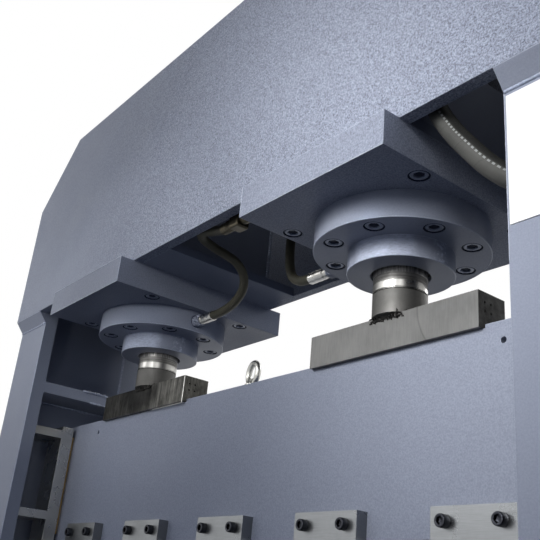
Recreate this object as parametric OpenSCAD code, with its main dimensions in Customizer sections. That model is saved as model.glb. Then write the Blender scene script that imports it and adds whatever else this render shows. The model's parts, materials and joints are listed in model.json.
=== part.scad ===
// Hydraulic press brake with a closed welded frame. Two cylinders hang under
// the upper beam and push a straight ram down onto a die table.
// X runs along the bend, Y from front to back, Z up. The floor is z = 0 and
// the origin lies midway between the columns, under the cylinder axes.

/* [Frame] */
// Overall width over the two columns
frame_w = 1736; // [1724:2:1760]
// Width of a column's front face
column_w = 154; // [150:1:160]
// Depth of a column, front to back
column_d = 334; // [330:2:340]
// Thickness of the column's web and flanges
column_t = 32; // [28:1:34]
// Thickness of the front, rear and rib plates
plate_t = 22; // [18:1:24]
// Height of the upper front plate
panel_h = 515; // [500:5:540]
// Width cut from each top corner of the upper plates
corner_w = 180; // [160:5:190]
// Height cut from each top corner of the upper plates
corner_h = 172; // [160:1:190]
// Underside of the cylinder blocks above the floor
block_z = 1660; // [1650:5:1680]

/* [Cylinders] */
// Distance between the two cylinder axes
axis_pitch = 770; // [760:2:776]
// Width of a cylinder block
block_w = 336; // [334:2:338]
// Depth of a cylinder block
block_d = 440; // [436:2:460]
// Thickness of a cylinder block
block_h = 58; // [56:1:60]
// Diameter of the gland's flange
flange_d = 295; // [290:1:300]
// Thickness of the gland's flange
flange_h = 47; // [45:1:50]
// Diameter of the gland's boss
boss_d = 178; // [174:1:184]
// Height of the gland's boss
boss_h = 37; // [34:1:40]
// Diameter of the piston rod
rod_d = 90; // [88:1:92]
// Bore of the cylinder
bore_d = 140; // [138:1:142]
// Bolt circle of the gland screws
gland_pcd = 240; // [238:1:244]
// Number of screws in each gland
gland_screws = 8; // [6, 8]

/* [Ram and tools] */
// Thickness of the ram plate
ram_t = 41.4; // [40:0.2:42]
// Length of the ram plate
ram_l = 1600; // [1580:10:1610]
// Top edge of the ram above the floor
ram_top = 1448; // [1446:1:1450]
// Bottom edge of the ram above the floor
ram_bottom = 1160; // [1150:5:1165]
// Length of a saddle bar
bar_l = 359; // [350:1:364]
// Depth of a saddle bar
bar_d = 61; // [58:1:64]
// Depth of the seat that holds a saddle bar in the ram
bar_seat = 5.5; // [5:0.5:7]
// Length of the punch, die and die rail
tool_l = 1400; // [1360:10:1400]
// Number of punch clamps
clamp_count = 5; // [3:1:5]

/* [Table] */
// Height of the table above the floor
table_z = 800; // [795:1:805]
// Thickness of the table's top plate
table_t = 45; // [40:1:50]
// Depth of the die rail
rail_d = 140; // [136:2:150]
// Side of the square die block
die_w = 60; // [58:1:60]

/* [Hoses] */
// Outside diameter of the rod-side hoses
hose_d = 19; // [18:0.5:20]
// Outside diameter of the supply hose
supply_d = 31.4; // [30:0.2:32]

/* [Hidden] */
$fn = 64;

// Frame places
web_x = frame_w / 2;                    // outer face of a column
lip_x = web_x - column_w;               // inner edge of a column's flanges
frame_y = column_d / 2;                 // front and rear faces of the columns
skin_y = frame_y + plate_t;             // outer faces of the front and rear plates
beam_z = block_z + block_h;             // lower edge of the upper plates
beam_top = beam_z + panel_h;
shoulder_z = beam_top - corner_h;       // where the cut corners start
shoulder_x = web_x - corner_w;
corner_slope = corner_h / corner_w;
roof_t = 20;
roof_drop = roof_t * sqrt(1 + pow(corner_slope, 2));  // upright thickness of a sloped plate
base_t = 30;
foot_x = [690, 900];                    // a base plate's ends, and its half depth
foot_y = 230;
anchor_at = [791, 200];                 // anchor hole in a base plate
anchor_r = 11;
level_x = [735, 847];                   // levelling screws in a base plate
level_y = 205;
level_r = 10;
shelf_z = block_z - 147;                // underside of the shelf in a column
shelf_t = 27;
weld_drop = 28;                         // height of the bevel under the front plate
web_hole = [-80, block_z - 79];         // supply hose's way through the right column
web_hole_r = 22;

// Beam places
rib_x = 213;                            // inner face of an inner rib
rib_t = 20;
outer_rib_x = 490;
outer_rib_h = 222;
seat_t = 30;                            // plate above each block that its screws enter
seat_end = 545;
floor_x = [-105, 140];                  // edges of the beam's floor at the middle opening
floor_front = -110;                     // front edge of the floor on the right
floor_t = 20;
pipe_z = block_z + 485;                 // height of the line between the two caps

// Cylinder places
axis_x = axis_pitch / 2;
flange_z = block_z - flange_h;
boss_z = flange_z - boss_h;
tube_d = 190;
tube_h = 455;
piston_z = block_z + 330;
piston_h = 70;
piston_nut = 22;
stem_r = 30;                            // rod's end inside the piston and its nut
seal_r = rod_d / 2 + 5;                 // outside of the wiper seal
rod_low = -119;                         // the rod's lower end, from block_z
run_gap = 0.05;                         // radial gap of rod and piston
seat_gap = 0.2;                         // radial gap of parts that stay put
port_z = block_z - flange_h / 2;
corner_screw_x = 145;
corner_screw_y = 120;

// Socket-head screws: thread, head diameter, head height, socket across flats
m20 = [20, 30, 20, 17];
m12 = [12, 18, 12, 10];
counterbore_gap = 4;                    // a counterbore's diameter over its head's
head_recess = 1;

// Ram places
bar_h = 57;
bar_z = ram_top - bar_seat;             // underside of the saddle bars
bar_top = bar_z + bar_h;
dimple_r = 2.1;
dimple_depth = 5;
seat_slack = 3.5;                       // end gap of a bar in its seat
side_hole_x = 598;
side_hole_z = ram_top - 29;
side_hole_d = 9.6;
shoe_t = 8;
shoe_gap = 0.3;
shoe_x = [735, 795];
shoe_z = [ram_bottom + 20, ram_top - 28];
guide_x = [725, 805];
guide_z = [1000, 1440];
guide_t = 30;
guide_y = ram_t / 2 + shoe_t + shoe_gap;

// Tool places
holder_l = 150;
holder_h = 60;
holder_z = ram_bottom - holder_h;
holder_back = 32;
clamp_pitch = tool_l / clamp_count;
clamp_t = 22;
tang_w = 14;
tang_h = 28;
tip_z = 1005;
rail_h = 35;
groove_depth = 10;
apron_z = 300;                          // lower edge of the table's side plates
table_rib_x = [-560, -230, 230, 560];
table_gap = 2;                          // from the table's plates to the columns
vee_w = 30;
vee_depth = 15.5;
screw_x = 45;                           // clamp screws from the middle of a clamp
die_z = table_z + rail_h - groove_depth;

// Control and back gauge places
box_lo = [731, -frame_y - 80, 840];
box_hi = [851, -frame_y, 1060];
button_r = 11;
up_at = [764, 1000];                    // button axes in X and Z
down_at = [818, 1000];
stop_at = [791, 900];
cab_lo = [-web_x - 220, -160, 690];
cab_hi = [-web_x, 160, 1190];
hinge_zs = [790, 1050];                 // feet of the two door hinges
switch_z = 1040;
hinge_x = -web_x - 229;
hinge_y = 168;
hinge_r = 7;
pin_r = 4;
knuckle_h = 15;                         // a fixed knuckle, above and below the door's own
door_knuckle = [15.5, 54.5];
door_t = 15;
sheet_t = 4;                            // wall of the cabinet and of the control box
door_gap = 1;
switch_r = 9;
arm_x = 420;
arm_z = 760;
gauge_y = 450;                          // middle of the gauge beam at rest
gauge_axis_z = 800;
gauge_beam_z = [850, 910];
gauge_screw_r = 10;
arm_half = 30;                          // half width of an arm, and of its rail on top
rail_half = 10;
arm_end = 690;                          // where the cross plate joins the arms
wheel_y = 735;
finger_x = 250;
slide_gap = 0.3;

// Power pack places
tank_lo = [900, -220, 60];
tank_hi = [1240, 220, 500];
lid_t = 15;
tank_wall = 5;
supply_at = [1000, -120];               // where the supply hose ends above the valves
return_y = 216;                         // return pipe behind the beam and down to the lid
return_x = 905;
return_z = block_z + 400;
motor_at = [1120, 90];

// Hose routes, through round points chosen along the real runs
left_hose_route = [[-170, 0, port_z], [-134, 0, port_z + 2], [-96, 0, block_z - 12],
    [-66, -2, block_z + 10], [-54, -12, block_z + 36], [-46, -38, block_z + 54],
    [-44, -70, block_z + 62], [-47, -102, block_z + 70], [-40, -132, block_z + 76],
    [-14, -150, block_z + 74], [18, -150, block_z + 65], [58, -146, block_z + 57]];
right_hose_route = [[154, 0, port_z], [124, 0, block_z - 20], [100, 0, block_z - 6],
    [88, 0, block_z + 18], [83, 0, block_z + 58], [84, 0, block_z + 110],
    [85, 0, block_z + 176]];
supply_route = [[540, -60, block_z + 390], [540, -61, block_z + 320],
    [541, -72, block_z + 250], [547, -96, block_z + 183], [562, -126, block_z + 124],
    [585, -140, block_z + 75], [612, -140, block_z + 28], [638, -140, block_z - 8],
    [658, -135, block_z - 35], [674, -128, block_z - 53], [690, -119, block_z - 66],
    [720, -112, block_z - 80], [760, -102, block_z - 87], [800, -90, block_z - 85],
    [836, -82, block_z - 80],
    [868, -80, block_z - 79], [924, -82, block_z - 90], [970, -88, block_z - 124],
    [994, -96, block_z - 178], [1002, -108, block_z - 250], [1001, -118, block_z - 400],
    [1000, -120, block_z - 600], [1000, -120, block_z - 830]];
tee_at = [107, -146, block_z + 57];
manifold_lo = [35, -50, block_z + 240];
manifold_hi = [175, 60, block_z + 310];

paint = [0.56, 0.60, 0.69];
bare_steel = [0.55, 0.54, 0.51];
dark_steel = [0.16, 0.16, 0.17];
zinc = [0.78, 0.78, 0.76];
rubber = [0.14, 0.14, 0.11];

// ---- Shapes shared by several parts ----

// Block between two opposite corners
module block(low, high) translate(low) cube(high - low);

// Outline in X and Z, carried from y0 to y1
module along_y(y0, y1) translate([0, y1, 0]) rotate([90, 0, 0])
    linear_extrude(y1 - y0) children();

// Outline in Y and Z, carried from x0 to x1
module along_x(x0, x1) translate([x0, 0, 0]) rotate([90, 0, 90])
    linear_extrude(x1 - x0) children();

// What is drawn for the right side, on the left (-1) or the right (1)
module on_side(side) mirror([side < 0 ? 1 : 0, 0, 0]) children();

// What is drawn at the rear, at the front (-1) or the rear (1)
module on_face(y) mirror([0, y < 0 ? 1 : 0, 0]) children();

// Cylinder from a point along +X, +Y or +Z
module bar_x(at, r, l) translate(at) rotate([0, 90, 0]) cylinder(r = r, h = l);
module bar_y(at, r, l) translate(at) rotate([-90, 0, 0]) cylinder(r = r, h = l);
module bar_z(at, r, l) translate(at) cylinder(r = r, h = l);

// Socket-head screw with its head at the origin, pointing up
module socket_screw(size, grip) {
    difference() {
        union() {
            cylinder(d = size[1], h = size[2]);
            cylinder(d = size[0], h = size[2] + grip);
        }
        translate([0, 0, -1])
            cylinder(d = size[3] / cos(30), h = size[2] / 2 + 1, $fn = 6);
    }
}

// Clearance hole and counterbore for a screw that enters from below
module screw_hole(size, depth) {
    translate([0, 0, -1]) cylinder(d = size[1] + counterbore_gap, h = size[2] + head_recess + 2);
    cylinder(d = size[0] + 2, h = depth);
}

// Hexagon with a width across flats
module hexagon(flats, h) cylinder(d = flats / cos(30), h = h, $fn = 6);

// The four corner screws and the ring of gland screws under one cylinder
module at_corner_screws() for (x = [-1, 1], y = [-1, 1])
    translate([axis_x + x * corner_screw_x, y * corner_screw_y, block_z]) children();
module at_gland_screws() for (i = [0 : gland_screws - 1])
    translate([axis_x, 0, 0]) rotate([0, 0, (i + 0.5) * 360 / gland_screws])
        translate([gland_pcd / 2, 0, flange_z]) children();

// ---- Tubes swept along a route ----

function unit(v) = v / norm(v);
function catmull(a, b, c, d, t) = 0.5 * (2 * b + (c - a) * t
    + (2 * a - 5 * b + 4 * c - d) * pow(t, 2) + (3 * b - a - 3 * c + d) * pow(t, 3));
// Smooth line through the points, with n steps between neighbours
function spline(p, n) = let (last = len(p) - 1) concat(
    [for (i = [0 : last - 1], k = [0 : n - 1])
        catmull(p[max(i - 1, 0)], p[i], p[i + 1], p[min(i + 2, last)], k / n)],
    [p[last]]);
function heading(p, i) = unit(p[min(i + 1, len(p) - 1)] - p[max(i - 1, 0)]);
// Directions square to the route that turn as little as they can
function normals(p, i, n) = i == len(p) ? [] :
    let (t = heading(p, i), m = unit(n - (n * t) * t)) concat([m], normals(p, i + 1, m));
// Route with its corners rounded to arcs of radius r, in n steps each
function rounded(p, r, n) = concat([p[0]],
    [for (i = [1 : len(p) - 2])
        let (a = unit(p[i - 1] - p[i]), b = unit(p[i + 1] - p[i]), c = p[i] + r * (a + b))
        for (k = [0 : n]) c - r * (b * cos(90 * k / n) + a * sin(90 * k / n))],
    [p[len(p) - 1]]);

module sweep(path, r, sides = 12, start = [0.1, 1, 0.2]) {
    n = normals(path, 0, start);
    last = len(path) - 1;
    points = [for (i = [0 : last], k = [0 : sides - 1])
        let (a = 360 * k / sides, side = cross(heading(path, i), n[i]))
            path[i] + r * (cos(a) * n[i] + sin(a) * side)];
    skin = [for (i = [0 : last - 1], k = [0 : sides - 1]) let (j = (k + 1) % sides)
        [i * sides + k, (i + 1) * sides + k, (i + 1) * sides + j, i * sides + j]];
    polyhedron(points, concat(skin, [[for (k = [0 : sides - 1]) k]],
        [[for (k = [sides - 1 : -1 : 0]) last * sides + k]]), convexity = 6);
}

// ---- Frame ----

// Underside of the sloped roof plate at a distance from the middle
function under_roof(x) = shoulder_z - roof_drop + (web_x - x) * corner_slope;

module column(side) {
    inner_x = web_x - column_t;
    inner_y = frame_y - column_t;
    on_side(side) color(paint) difference() {
        union() {
            difference() {
                along_y(-frame_y, frame_y) polygon([[lip_x, base_t], [web_x, base_t],
                    [web_x, under_roof(web_x)], [lip_x, under_roof(lip_x)]]);
                block([lip_x - 1, -inner_y, base_t - 1], [inner_x, inner_y, beam_top]);
            }
            block([lip_x, -inner_y, shelf_z], [inner_x, inner_y, shelf_z + shelf_t]);
            block([lip_x, -inner_y, table_z - table_t], [inner_x, inner_y, table_z]);
            for (y = [-1, 1]) on_face(y) along_x(lip_x, web_x) polygon([[frame_y, beam_z],
                [skin_y, beam_z], [frame_y, beam_z - weld_drop]]);
        }
        if (side > 0) bar_x([inner_x - 1, web_hole[0], web_hole[1]], web_hole_r, column_t + 2);
    }
}

module base_plates() for (side = [-1, 1]) on_side(side) color(paint) difference() {
    block([foot_x[0], -foot_y, 0], [foot_x[1], foot_y, base_t]);
    for (y = [-1, 1]) bar_z([anchor_at[0], y * anchor_at[1], -1], anchor_r, base_t + 2);
    for (x = level_x, y = [-level_y, level_y])
        bar_z([x, y, -1], level_r + seat_gap, base_t + 2);
}

module levelling_screws() for (side = [-1, 1], x = level_x, y = [-level_y, level_y])
    translate([side * x, y, 0]) color(dark_steel) {
        difference() {
            translate([0, 0, base_t]) hexagon(3 * level_r, 16);
            cylinder(r = level_r + seat_gap, h = 2 * base_t);
        }
        translate([0, 0, 1]) cylinder(r = level_r, h = 2 * base_t);
        translate([0, 0, 2 * base_t]) hexagon(3 * level_r, 13);
    }

module plate_outline() polygon([[-web_x, beam_z], [web_x, beam_z], [web_x, shoulder_z],
    [shoulder_x, beam_top], [-shoulder_x, beam_top], [-web_x, shoulder_z]]);

module front_plate() color(paint) along_y(-skin_y, -frame_y) plate_outline();

module rear_plate() color(paint) difference() {
    along_y(frame_y, skin_y) plate_outline();
    bar_y([tee_at[0], frame_y - 1, return_z], 15, plate_t + 2);
}

module roof_plates() color(paint) {
    block([-shoulder_x, -frame_y, beam_top - roof_t], [shoulder_x, frame_y, beam_top]);
    for (side = [-1, 1]) on_side(side) along_y(-frame_y, frame_y) polygon([
        [web_x, shoulder_z], [shoulder_x, beam_top], [shoulder_x, beam_top - roof_drop],
        [web_x, shoulder_z - roof_drop]]);
}

module beam_ribs() color(paint) {
    for (side = [-1, 1]) on_side(side) {
        difference() {
            union() {
                block([rib_x, -frame_y, beam_z], [seat_end, frame_y, beam_z + seat_t]);
                block([rib_x, -frame_y, beam_z], [rib_x + rib_t, frame_y, beam_top - roof_t]);
                block([outer_rib_x, -frame_y, beam_z], [outer_rib_x + rib_t, frame_y,
                    beam_z + outer_rib_h]);
            }
            bar_z([axis_x, 0, beam_z - 1], tube_d / 2 + seat_gap, seat_t + 2);
            at_corner_screws() cylinder(d = m20[0] + 2 * seat_gap, h = block_h + seat_t - 4);
            bar_x([rib_x - 1, 0, pipe_z], 13, rib_t + 2);
        }
    }
    block([-rib_x, -frame_y, beam_z], [floor_x[0], frame_y, beam_z + floor_t]);
    block([floor_x[1], floor_front, beam_z], [rib_x, frame_y, beam_z + floor_t]);
}

// ---- Cylinders ----

module cylinder_block(side) on_side(side) color(paint) difference() {
    block([axis_x - block_w / 2, -block_d / 2, block_z],
        [axis_x + block_w / 2, block_d / 2, beam_z]);
    bar_z([axis_x, 0, block_z - 1], tube_d / 2 + seat_gap, block_h + 2);
    at_corner_screws() screw_hole(m20, block_h + 1);
    at_gland_screws() cylinder(d = m20[0] + 2 * seat_gap, h = flange_h + 40);
}

module cylinder_tubes() for (side = [-1, 1]) on_side(side) color(dark_steel) difference() {
    bar_z([axis_x, 0, block_z], tube_d / 2, tube_h);
    bar_z([axis_x, 0, block_z - 1], bore_d / 2, tube_h + 2);
}

module cylinder_caps() for (side = [-1, 1]) on_side(side) color(paint) {
    cap_z = block_z + tube_h;
    bar_z([axis_x, 0, cap_z], tube_d / 2, 60);
    bar_z([axis_x, 0, cap_z - 20], bore_d / 2 - seat_gap, 21);
    block([axis_x - 110, -18, pipe_z - 18], [axis_x - 60, 18, pipe_z + 18]);
    if (side > 0) block([axis_x + 60, -80, pipe_z - 20], [axis_x + 120, -40, pipe_z + 20]);
}

module gland(side) on_side(side) color(paint) difference() {
    union() {
        bar_z([axis_x, 0, flange_z], flange_d / 2, flange_h);
        bar_z([axis_x, 0, boss_z], boss_d / 2, boss_h + 1);
        bar_z([axis_x, 0, block_z - 1], bore_d / 2 - seat_gap, block_h + 1);
    }
    bar_z([axis_x, 0, boss_z - 1], rod_d / 2 + run_gap, 200);
    bar_z([axis_x, 0, boss_z - 1], seal_r, 19);
    at_gland_screws() screw_hole(m20, flange_h + 1);
    bar_x([axis_x - flange_d / 2 - 1, 0, port_z], 15, 3);
    bar_x([axis_x - flange_d / 2 - 1, 0, port_z], 6, 60);
}

module cylinder_screws() for (side = [-1, 1]) on_side(side) color(dark_steel) {
    at_corner_screws() translate([0, 0, head_recess]) socket_screw(m20, 60);
    at_gland_screws() translate([0, 0, head_recess]) socket_screw(m20, 58);
}

module wiper_seals() for (side = [-1, 1]) on_side(side) color(dark_steel) difference() {
    bar_z([axis_x, 0, boss_z + 10], seal_r - seat_gap, 8);
    bar_z([axis_x, 0, boss_z + 9], rod_d / 2 + run_gap, 10);
}

module piston_rods() for (side = [-1, 1]) on_side(side) color([0.80, 0.80, 0.80])
    translate([axis_x, 0, block_z]) rotate_extrude() polygon([[0, rod_low],
        [rod_d / 2 - 1.8, rod_low], [rod_d / 2 - 1.8, rod_low + 2], [rod_d / 2, rod_low + 2],
        [rod_d / 2, -105], [rod_d / 2 - 0.6, -105], [rod_d / 2 - 0.6, -92], [rod_d / 2, -92],
        [rod_d / 2, piston_z - block_z], [stem_r, piston_z - block_z],
        [stem_r, piston_z - block_z + piston_h + piston_nut + 3],
        [0, piston_z - block_z + piston_h + piston_nut + 3]]);

module pistons() for (side = [-1, 1]) on_side(side) color(bare_steel)
    translate([axis_x, 0, piston_z]) {
        difference() {
            cylinder(r = bore_d / 2 - run_gap, h = piston_h);
            translate([0, 0, -1]) cylinder(r = stem_r + seat_gap, h = piston_h + 2);
        }
        difference() {
            translate([0, 0, piston_h]) hexagon(85, piston_nut);
            cylinder(r = stem_r + seat_gap, h = piston_h + 2 * piston_nut);
        }
    }

module rod_noses() for (side = [-1, 1]) on_side(side) color(dark_steel)
    bar_z([axis_x, 0, bar_top], rod_d / 2, block_z + rod_low - bar_top);

// Both bars are the same way round, with four small dimples in the right end
module saddle_bar(side) translate([side * axis_x, 0, 0]) color(bare_steel) difference() {
    block([-bar_l / 2, -bar_d / 2, bar_z], [bar_l / 2, bar_d / 2, bar_top]);
    for (y = [-7, 7], z = [-7, 7])
        bar_x([bar_l / 2 - dimple_depth, y - 9, bar_top - 23 + z], dimple_r, dimple_depth + 1);
}

// ---- Ram ----

module ram_plate() color(paint) difference() {
    block([-ram_l / 2, -ram_t / 2, ram_bottom], [ram_l / 2, ram_t / 2, ram_top]);
    for (side = [-1, 1]) on_side(side) {
        block([axis_x - bar_l / 2 - seat_slack, -ram_t, bar_z],
            [axis_x + bar_l / 2 + seat_slack, ram_t, ram_top + 1]);
        bar_y([side_hole_x, -ram_t, side_hole_z], side_hole_d / 2, 2 * ram_t);
    }
    bar_z([0, 0, ram_top - 32], 6 + seat_gap, 40);
    at_clamp_screws() bar_y([0, clamp_t, 0], 6 + seat_gap, 17);
}

module eye_bolt() color(zinc) translate([0, 0, ram_top]) rotate([0, 0, -12]) {
    translate([0, 0, -28]) cylinder(r = 6, h = 29);
    cylinder(r = 15, h = 5);
    translate([0, 0, 4]) cylinder(r1 = 12, r2 = 8, h = 9);
    translate([0, 0, 27.3]) rotate([90, 0, 0]) rotate_extrude()
        translate([21, 0]) circle(r = 6, $fn = 24);
}

module guide_shoes() color([0.66, 0.50, 0.26]) for (side = [-1, 1], y = [-1, 1])
    on_side(side) on_face(y)
        block([shoe_x[0], ram_t / 2, shoe_z[0]], [shoe_x[1], ram_t / 2 + shoe_t, shoe_z[1]]);

module guide_rails() color(bare_steel) for (side = [-1, 1], y = [-1, 1])
    on_side(side) on_face(y) {
        block([guide_x[0], guide_y, guide_z[0]], [guide_x[1], guide_y + guide_t, guide_z[1]]);
        for (z = [guide_z[0] + 10, 1210, guide_z[1] - 30])
            block([guide_x[0], guide_y + guide_t - 1, z],
                [web_x - column_t, frame_y - column_t, z + 20]);
    }

// ---- Punch and its clamps ----

module at_clamps() for (i = [0 : clamp_count - 1])
    translate([(i - (clamp_count - 1) / 2) * clamp_pitch, 0, 0]) children();

// Heads of the clamp screws, on the front of the clamp plates
module at_clamp_screws() at_clamps() for (x = [-screw_x, screw_x])
    translate([x, -ram_t / 2 - clamp_t, ram_bottom + 20]) children();

module tool_holders() color(bare_steel) at_clamps() difference() {
    block([-holder_l / 2, -ram_t / 2, holder_z], [holder_l / 2, holder_back, ram_bottom]);
    block([-holder_l / 2 - 1, -ram_t, holder_z - 1],
        [holder_l / 2 + 1, tang_w / 2 + 0.1, holder_z + tang_h + 1]);
    for (x = [-screw_x, screw_x]) bar_y([x, -ram_t, holder_z + 44], 6 + seat_gap, ram_t + 10);
}

module clamp_plates() color(dark_steel) at_clamps() difference() {
    front = -ram_t / 2 - clamp_t;
    union() {
        block([-holder_l / 2 + 5, front, holder_z - 8],
            [holder_l / 2 - 5, -ram_t / 2, ram_bottom + 40]);
        block([-holder_l / 2 + 5, -ram_t / 2 - 1, holder_z + 2],
            [holder_l / 2 - 5, -tang_w / 2 - 0.1, holder_z + tang_h - 1]);
    }
    for (x = [-screw_x, screw_x], z = [holder_z + 44, ram_bottom + 20])
        bar_y([x, front - 1, z], 6 + 2 * seat_gap, clamp_t + 2);
}

module clamp_screws() color(dark_steel) at_clamps()
    for (x = [-screw_x, screw_x], z = [holder_z + 44, ram_bottom + 20])
        translate([x, -ram_t / 2 - clamp_t - m12[2], z]) rotate([-90, 0, 0])
            socket_screw(m12, 38);

module punch() color(bare_steel) along_x(-tool_l / 2, tool_l / 2) polygon([
    [-tang_w / 2, holder_z + tang_h], [-tang_w / 2, holder_z], [-13, holder_z],
    [-13, holder_z - 14], [-5, holder_z - 34], [-5, tip_z + 18], [-0.8, tip_z],
    [0.8, tip_z], [17, tip_z + 22], [20, holder_z - 30], [20, holder_z],
    [tang_w / 2, holder_z], [tang_w / 2, holder_z + tang_h]]);

// ---- Table and die ----

module table_top() color(paint) difference() {
    block([-lip_x + table_gap, -skin_y, table_z - table_t],
        [lip_x - table_gap, skin_y, table_z]);
    at_die_screws() translate([0, 0, -40]) cylinder(r = 6 + seat_gap, h = 50);
}

module table_side_plates() color(paint) for (y = [-1, 1]) on_face(y)
    block([-web_x, frame_y, apron_z], [web_x, skin_y, table_z - table_t]);

module table_ribs() color(paint) {
    for (x = table_rib_x) block([x - rib_t / 2, -frame_y, apron_z + 2 * rib_t - 1],
        [x + rib_t / 2, frame_y, table_z - table_t]);
    block([-lip_x + table_gap, -frame_y, apron_z + rib_t],
        [lip_x - table_gap, frame_y, apron_z + 2 * rib_t]);
}

module at_die_screws() for (x = [-650 : 260 : 650], y = [-50, 50])
    translate([x, y, table_z]) children();

module die_rail() color(bare_steel) difference() {
    block([-tool_l / 2, -rail_d / 2, table_z], [tool_l / 2, rail_d / 2, table_z + rail_h]);
    block([-tool_l / 2 - 1, -die_w / 2 - 0.15, die_z],
        [tool_l / 2 + 1, die_w / 2 + 0.15, table_z + rail_h + 1]);
    at_die_screws() {
        translate([0, 0, -1]) cylinder(r = 6 + 2 * seat_gap, h = rail_h);
        translate([0, 0, rail_h - m12[2] - 1]) cylinder(r = 10, h = 20);
    }
}

module die_screws() color(dark_steel) at_die_screws()
    translate([0, 0, rail_h - 1]) rotate([180, 0, 0]) socket_screw(m12, 45);

// Four-way die block with its wide vee on top
module vee_die() color(bare_steel) along_x(-tool_l / 2, tool_l / 2) {
    w = die_w / 2;
    middle = die_z + w;
    polygon([[-w, die_z], [-8, die_z], [0, die_z + 8], [8, die_z], [w, die_z],
        [w, middle - 12], [w - 12, middle], [w, middle + 12], [w, die_z + die_w],
        [vee_w / 2, die_z + die_w], [0, die_z + die_w - vee_depth], [-vee_w / 2, die_z + die_w],
        [-w, die_z + die_w], [-w, middle + 10], [-w + 10, middle], [-w, middle - 10]]);
}

// ---- Hoses, pipes and fittings ----

module rod_hose_left() color(rubber) sweep(spline(left_hose_route, 2), hose_d / 2);
module rod_hose_right() color(rubber) sweep(spline(right_hose_route, 2), hose_d / 2);
module supply_hose() color(rubber) sweep(spline(supply_route, 2), supply_d / 2);

module hose_ferrules() color(zinc) {
    bar_x([-216, 0, port_z], 11.5, 46);
    bar_x([154, 0, port_z], 11.5, 52);
    bar_x([58, tee_at[1], tee_at[2]], 11.5, 34);
    bar_z([85, 0, block_z + 176], 11.5, 46);
    bar_z([540, -60, block_z + 390], 19, 60);
    bar_z([supply_at[0], supply_at[1], block_z - 890], 19, 60);
}

module port_adapters() color(paint) {
    bar_hex_x([-axis_x + flange_d / 2 - 2, 0, port_z], 24, axis_x - flange_d / 2 + 2 - 216);
    bar_hex_x([206, 0, port_z], 24, axis_x - flange_d / 2 + 2 - 206);
    translate([85, 0, block_z + 222]) hexagon(24, 18);
    translate([523, -77, pipe_z - 17]) cube(34);
    translate([505, -60, pipe_z]) rotate([0, 90, 0]) hexagon(32, 18);
    translate([540, -60, block_z + 450]) hexagon(32, 18);
    translate([supply_at[0], supply_at[1], block_z - 920]) hexagon(36, 30);
}

// Hexagon bar from a point along +X
module bar_hex_x(at, flats, l) translate(at) rotate([0, 90, 0]) hexagon(flats, l);

module tee_fitting() color([0.72, 0.60, 0.34]) {
    translate(tee_at - [15, 15, 15]) cube(30);
    bar_x(tee_at + [14, 0, 0], 10, 26);
    translate(tee_at + [0, 0, 14]) hexagon(24, 20);
}

module steel_pipes() color(zinc) {
    bar_x([-axis_x + 110, 0, pipe_z], 11, 2 * axis_x - 220);
    sweep(rounded([tee_at + [0, 0, 34], [tee_at[0], tee_at[1], block_z + 275],
        [tee_at[0], manifold_lo[1], block_z + 275]], 40, 5), 8);
    sweep(rounded([[tee_at[0], 0, manifold_hi[2]], [tee_at[0], 0, return_z],
        [tee_at[0], return_y, return_z], [return_x, return_y, return_z],
        [return_x, return_y, tank_hi[2] + lid_t]], 36, 5), 11);
}

module valve_manifold() color(dark_steel) {
    block(manifold_lo, manifold_hi);
    block([60, manifold_hi[1] - 1, block_z + 262], [150, frame_y, block_z + 288]);
}

module label_plate() color("white")
    block([718, -frame_y - 1.5, block_z - 162], [850, -frame_y, block_z + 22]);

// ---- Power pack ----

module oil_tank() color(paint) {
    difference() {
        block(tank_lo, tank_hi);
        block(tank_lo + tank_wall * [1, 1, 1], tank_hi + [-tank_wall, -tank_wall, 1]);
    }
    for (y = [-190, 130]) block([tank_lo[0], y, 0], [tank_hi[0], y + 60, tank_lo[2] + 1]);
}

module tank_lid() color(paint) {
    block([tank_lo[0] - 12, tank_lo[1] - 12, tank_hi[2]],
        [tank_hi[0] + 12, tank_hi[1] + 12, tank_hi[2] + lid_t]);
    bar_z([tank_hi[0] - 50, tank_lo[1] + 60, tank_hi[2]], 38, lid_t + 60);
}

module motor() color(dark_steel) translate([motor_at[0], motor_at[1], tank_hi[2] + lid_t]) {
    cylinder(r = 62, h = 90);
    translate([0, 0, 80]) cylinder(r = 100, h = 16);
    translate([0, 0, 90]) cylinder(r = 88, h = 220);
    translate([0, 0, 300]) cylinder(r = 92, h = 60);
    translate([60, -50, 170]) cube([60, 100, 90]);
}

module valve_block() color(dark_steel) {
    top = tank_hi[2] + lid_t;
    block([940, -185, top], [1060, -60, block_z - 920]);
    for (z = [top + 40, top + 130]) block([960, -60.5, z], [1040, 20, z + 50]);
}

// ---- Controls ----

module control_box() color(paint) difference() {
    block(box_lo, box_hi);
    block(box_lo + sheet_t * [1, 1, 1], box_hi - sheet_t * [1, 1, 1]);
    for (p = [up_at, down_at, stop_at]) bar_y([p[0], box_lo[1] - 1, p[1]], button_r + run_gap, 8);
}

module push_button(at, cap_r, cap_t) translate([at[0], box_lo[1], at[1]]) rotate([-90, 0, 0]) {
    translate([0, 0, -8]) cylinder(r = button_r, h = 30);
    translate([0, 0, -8 - cap_t]) cylinder(r = cap_r, h = cap_t + 1);
}

module up_button() color([0.15, 0.45, 0.22]) push_button(up_at, 16, 6);
module down_button() color([0.12, 0.12, 0.12]) push_button(down_at, 16, 6);
module stop_button() color([0.75, 0.08, 0.06]) push_button(stop_at, 22, 14);

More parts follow.
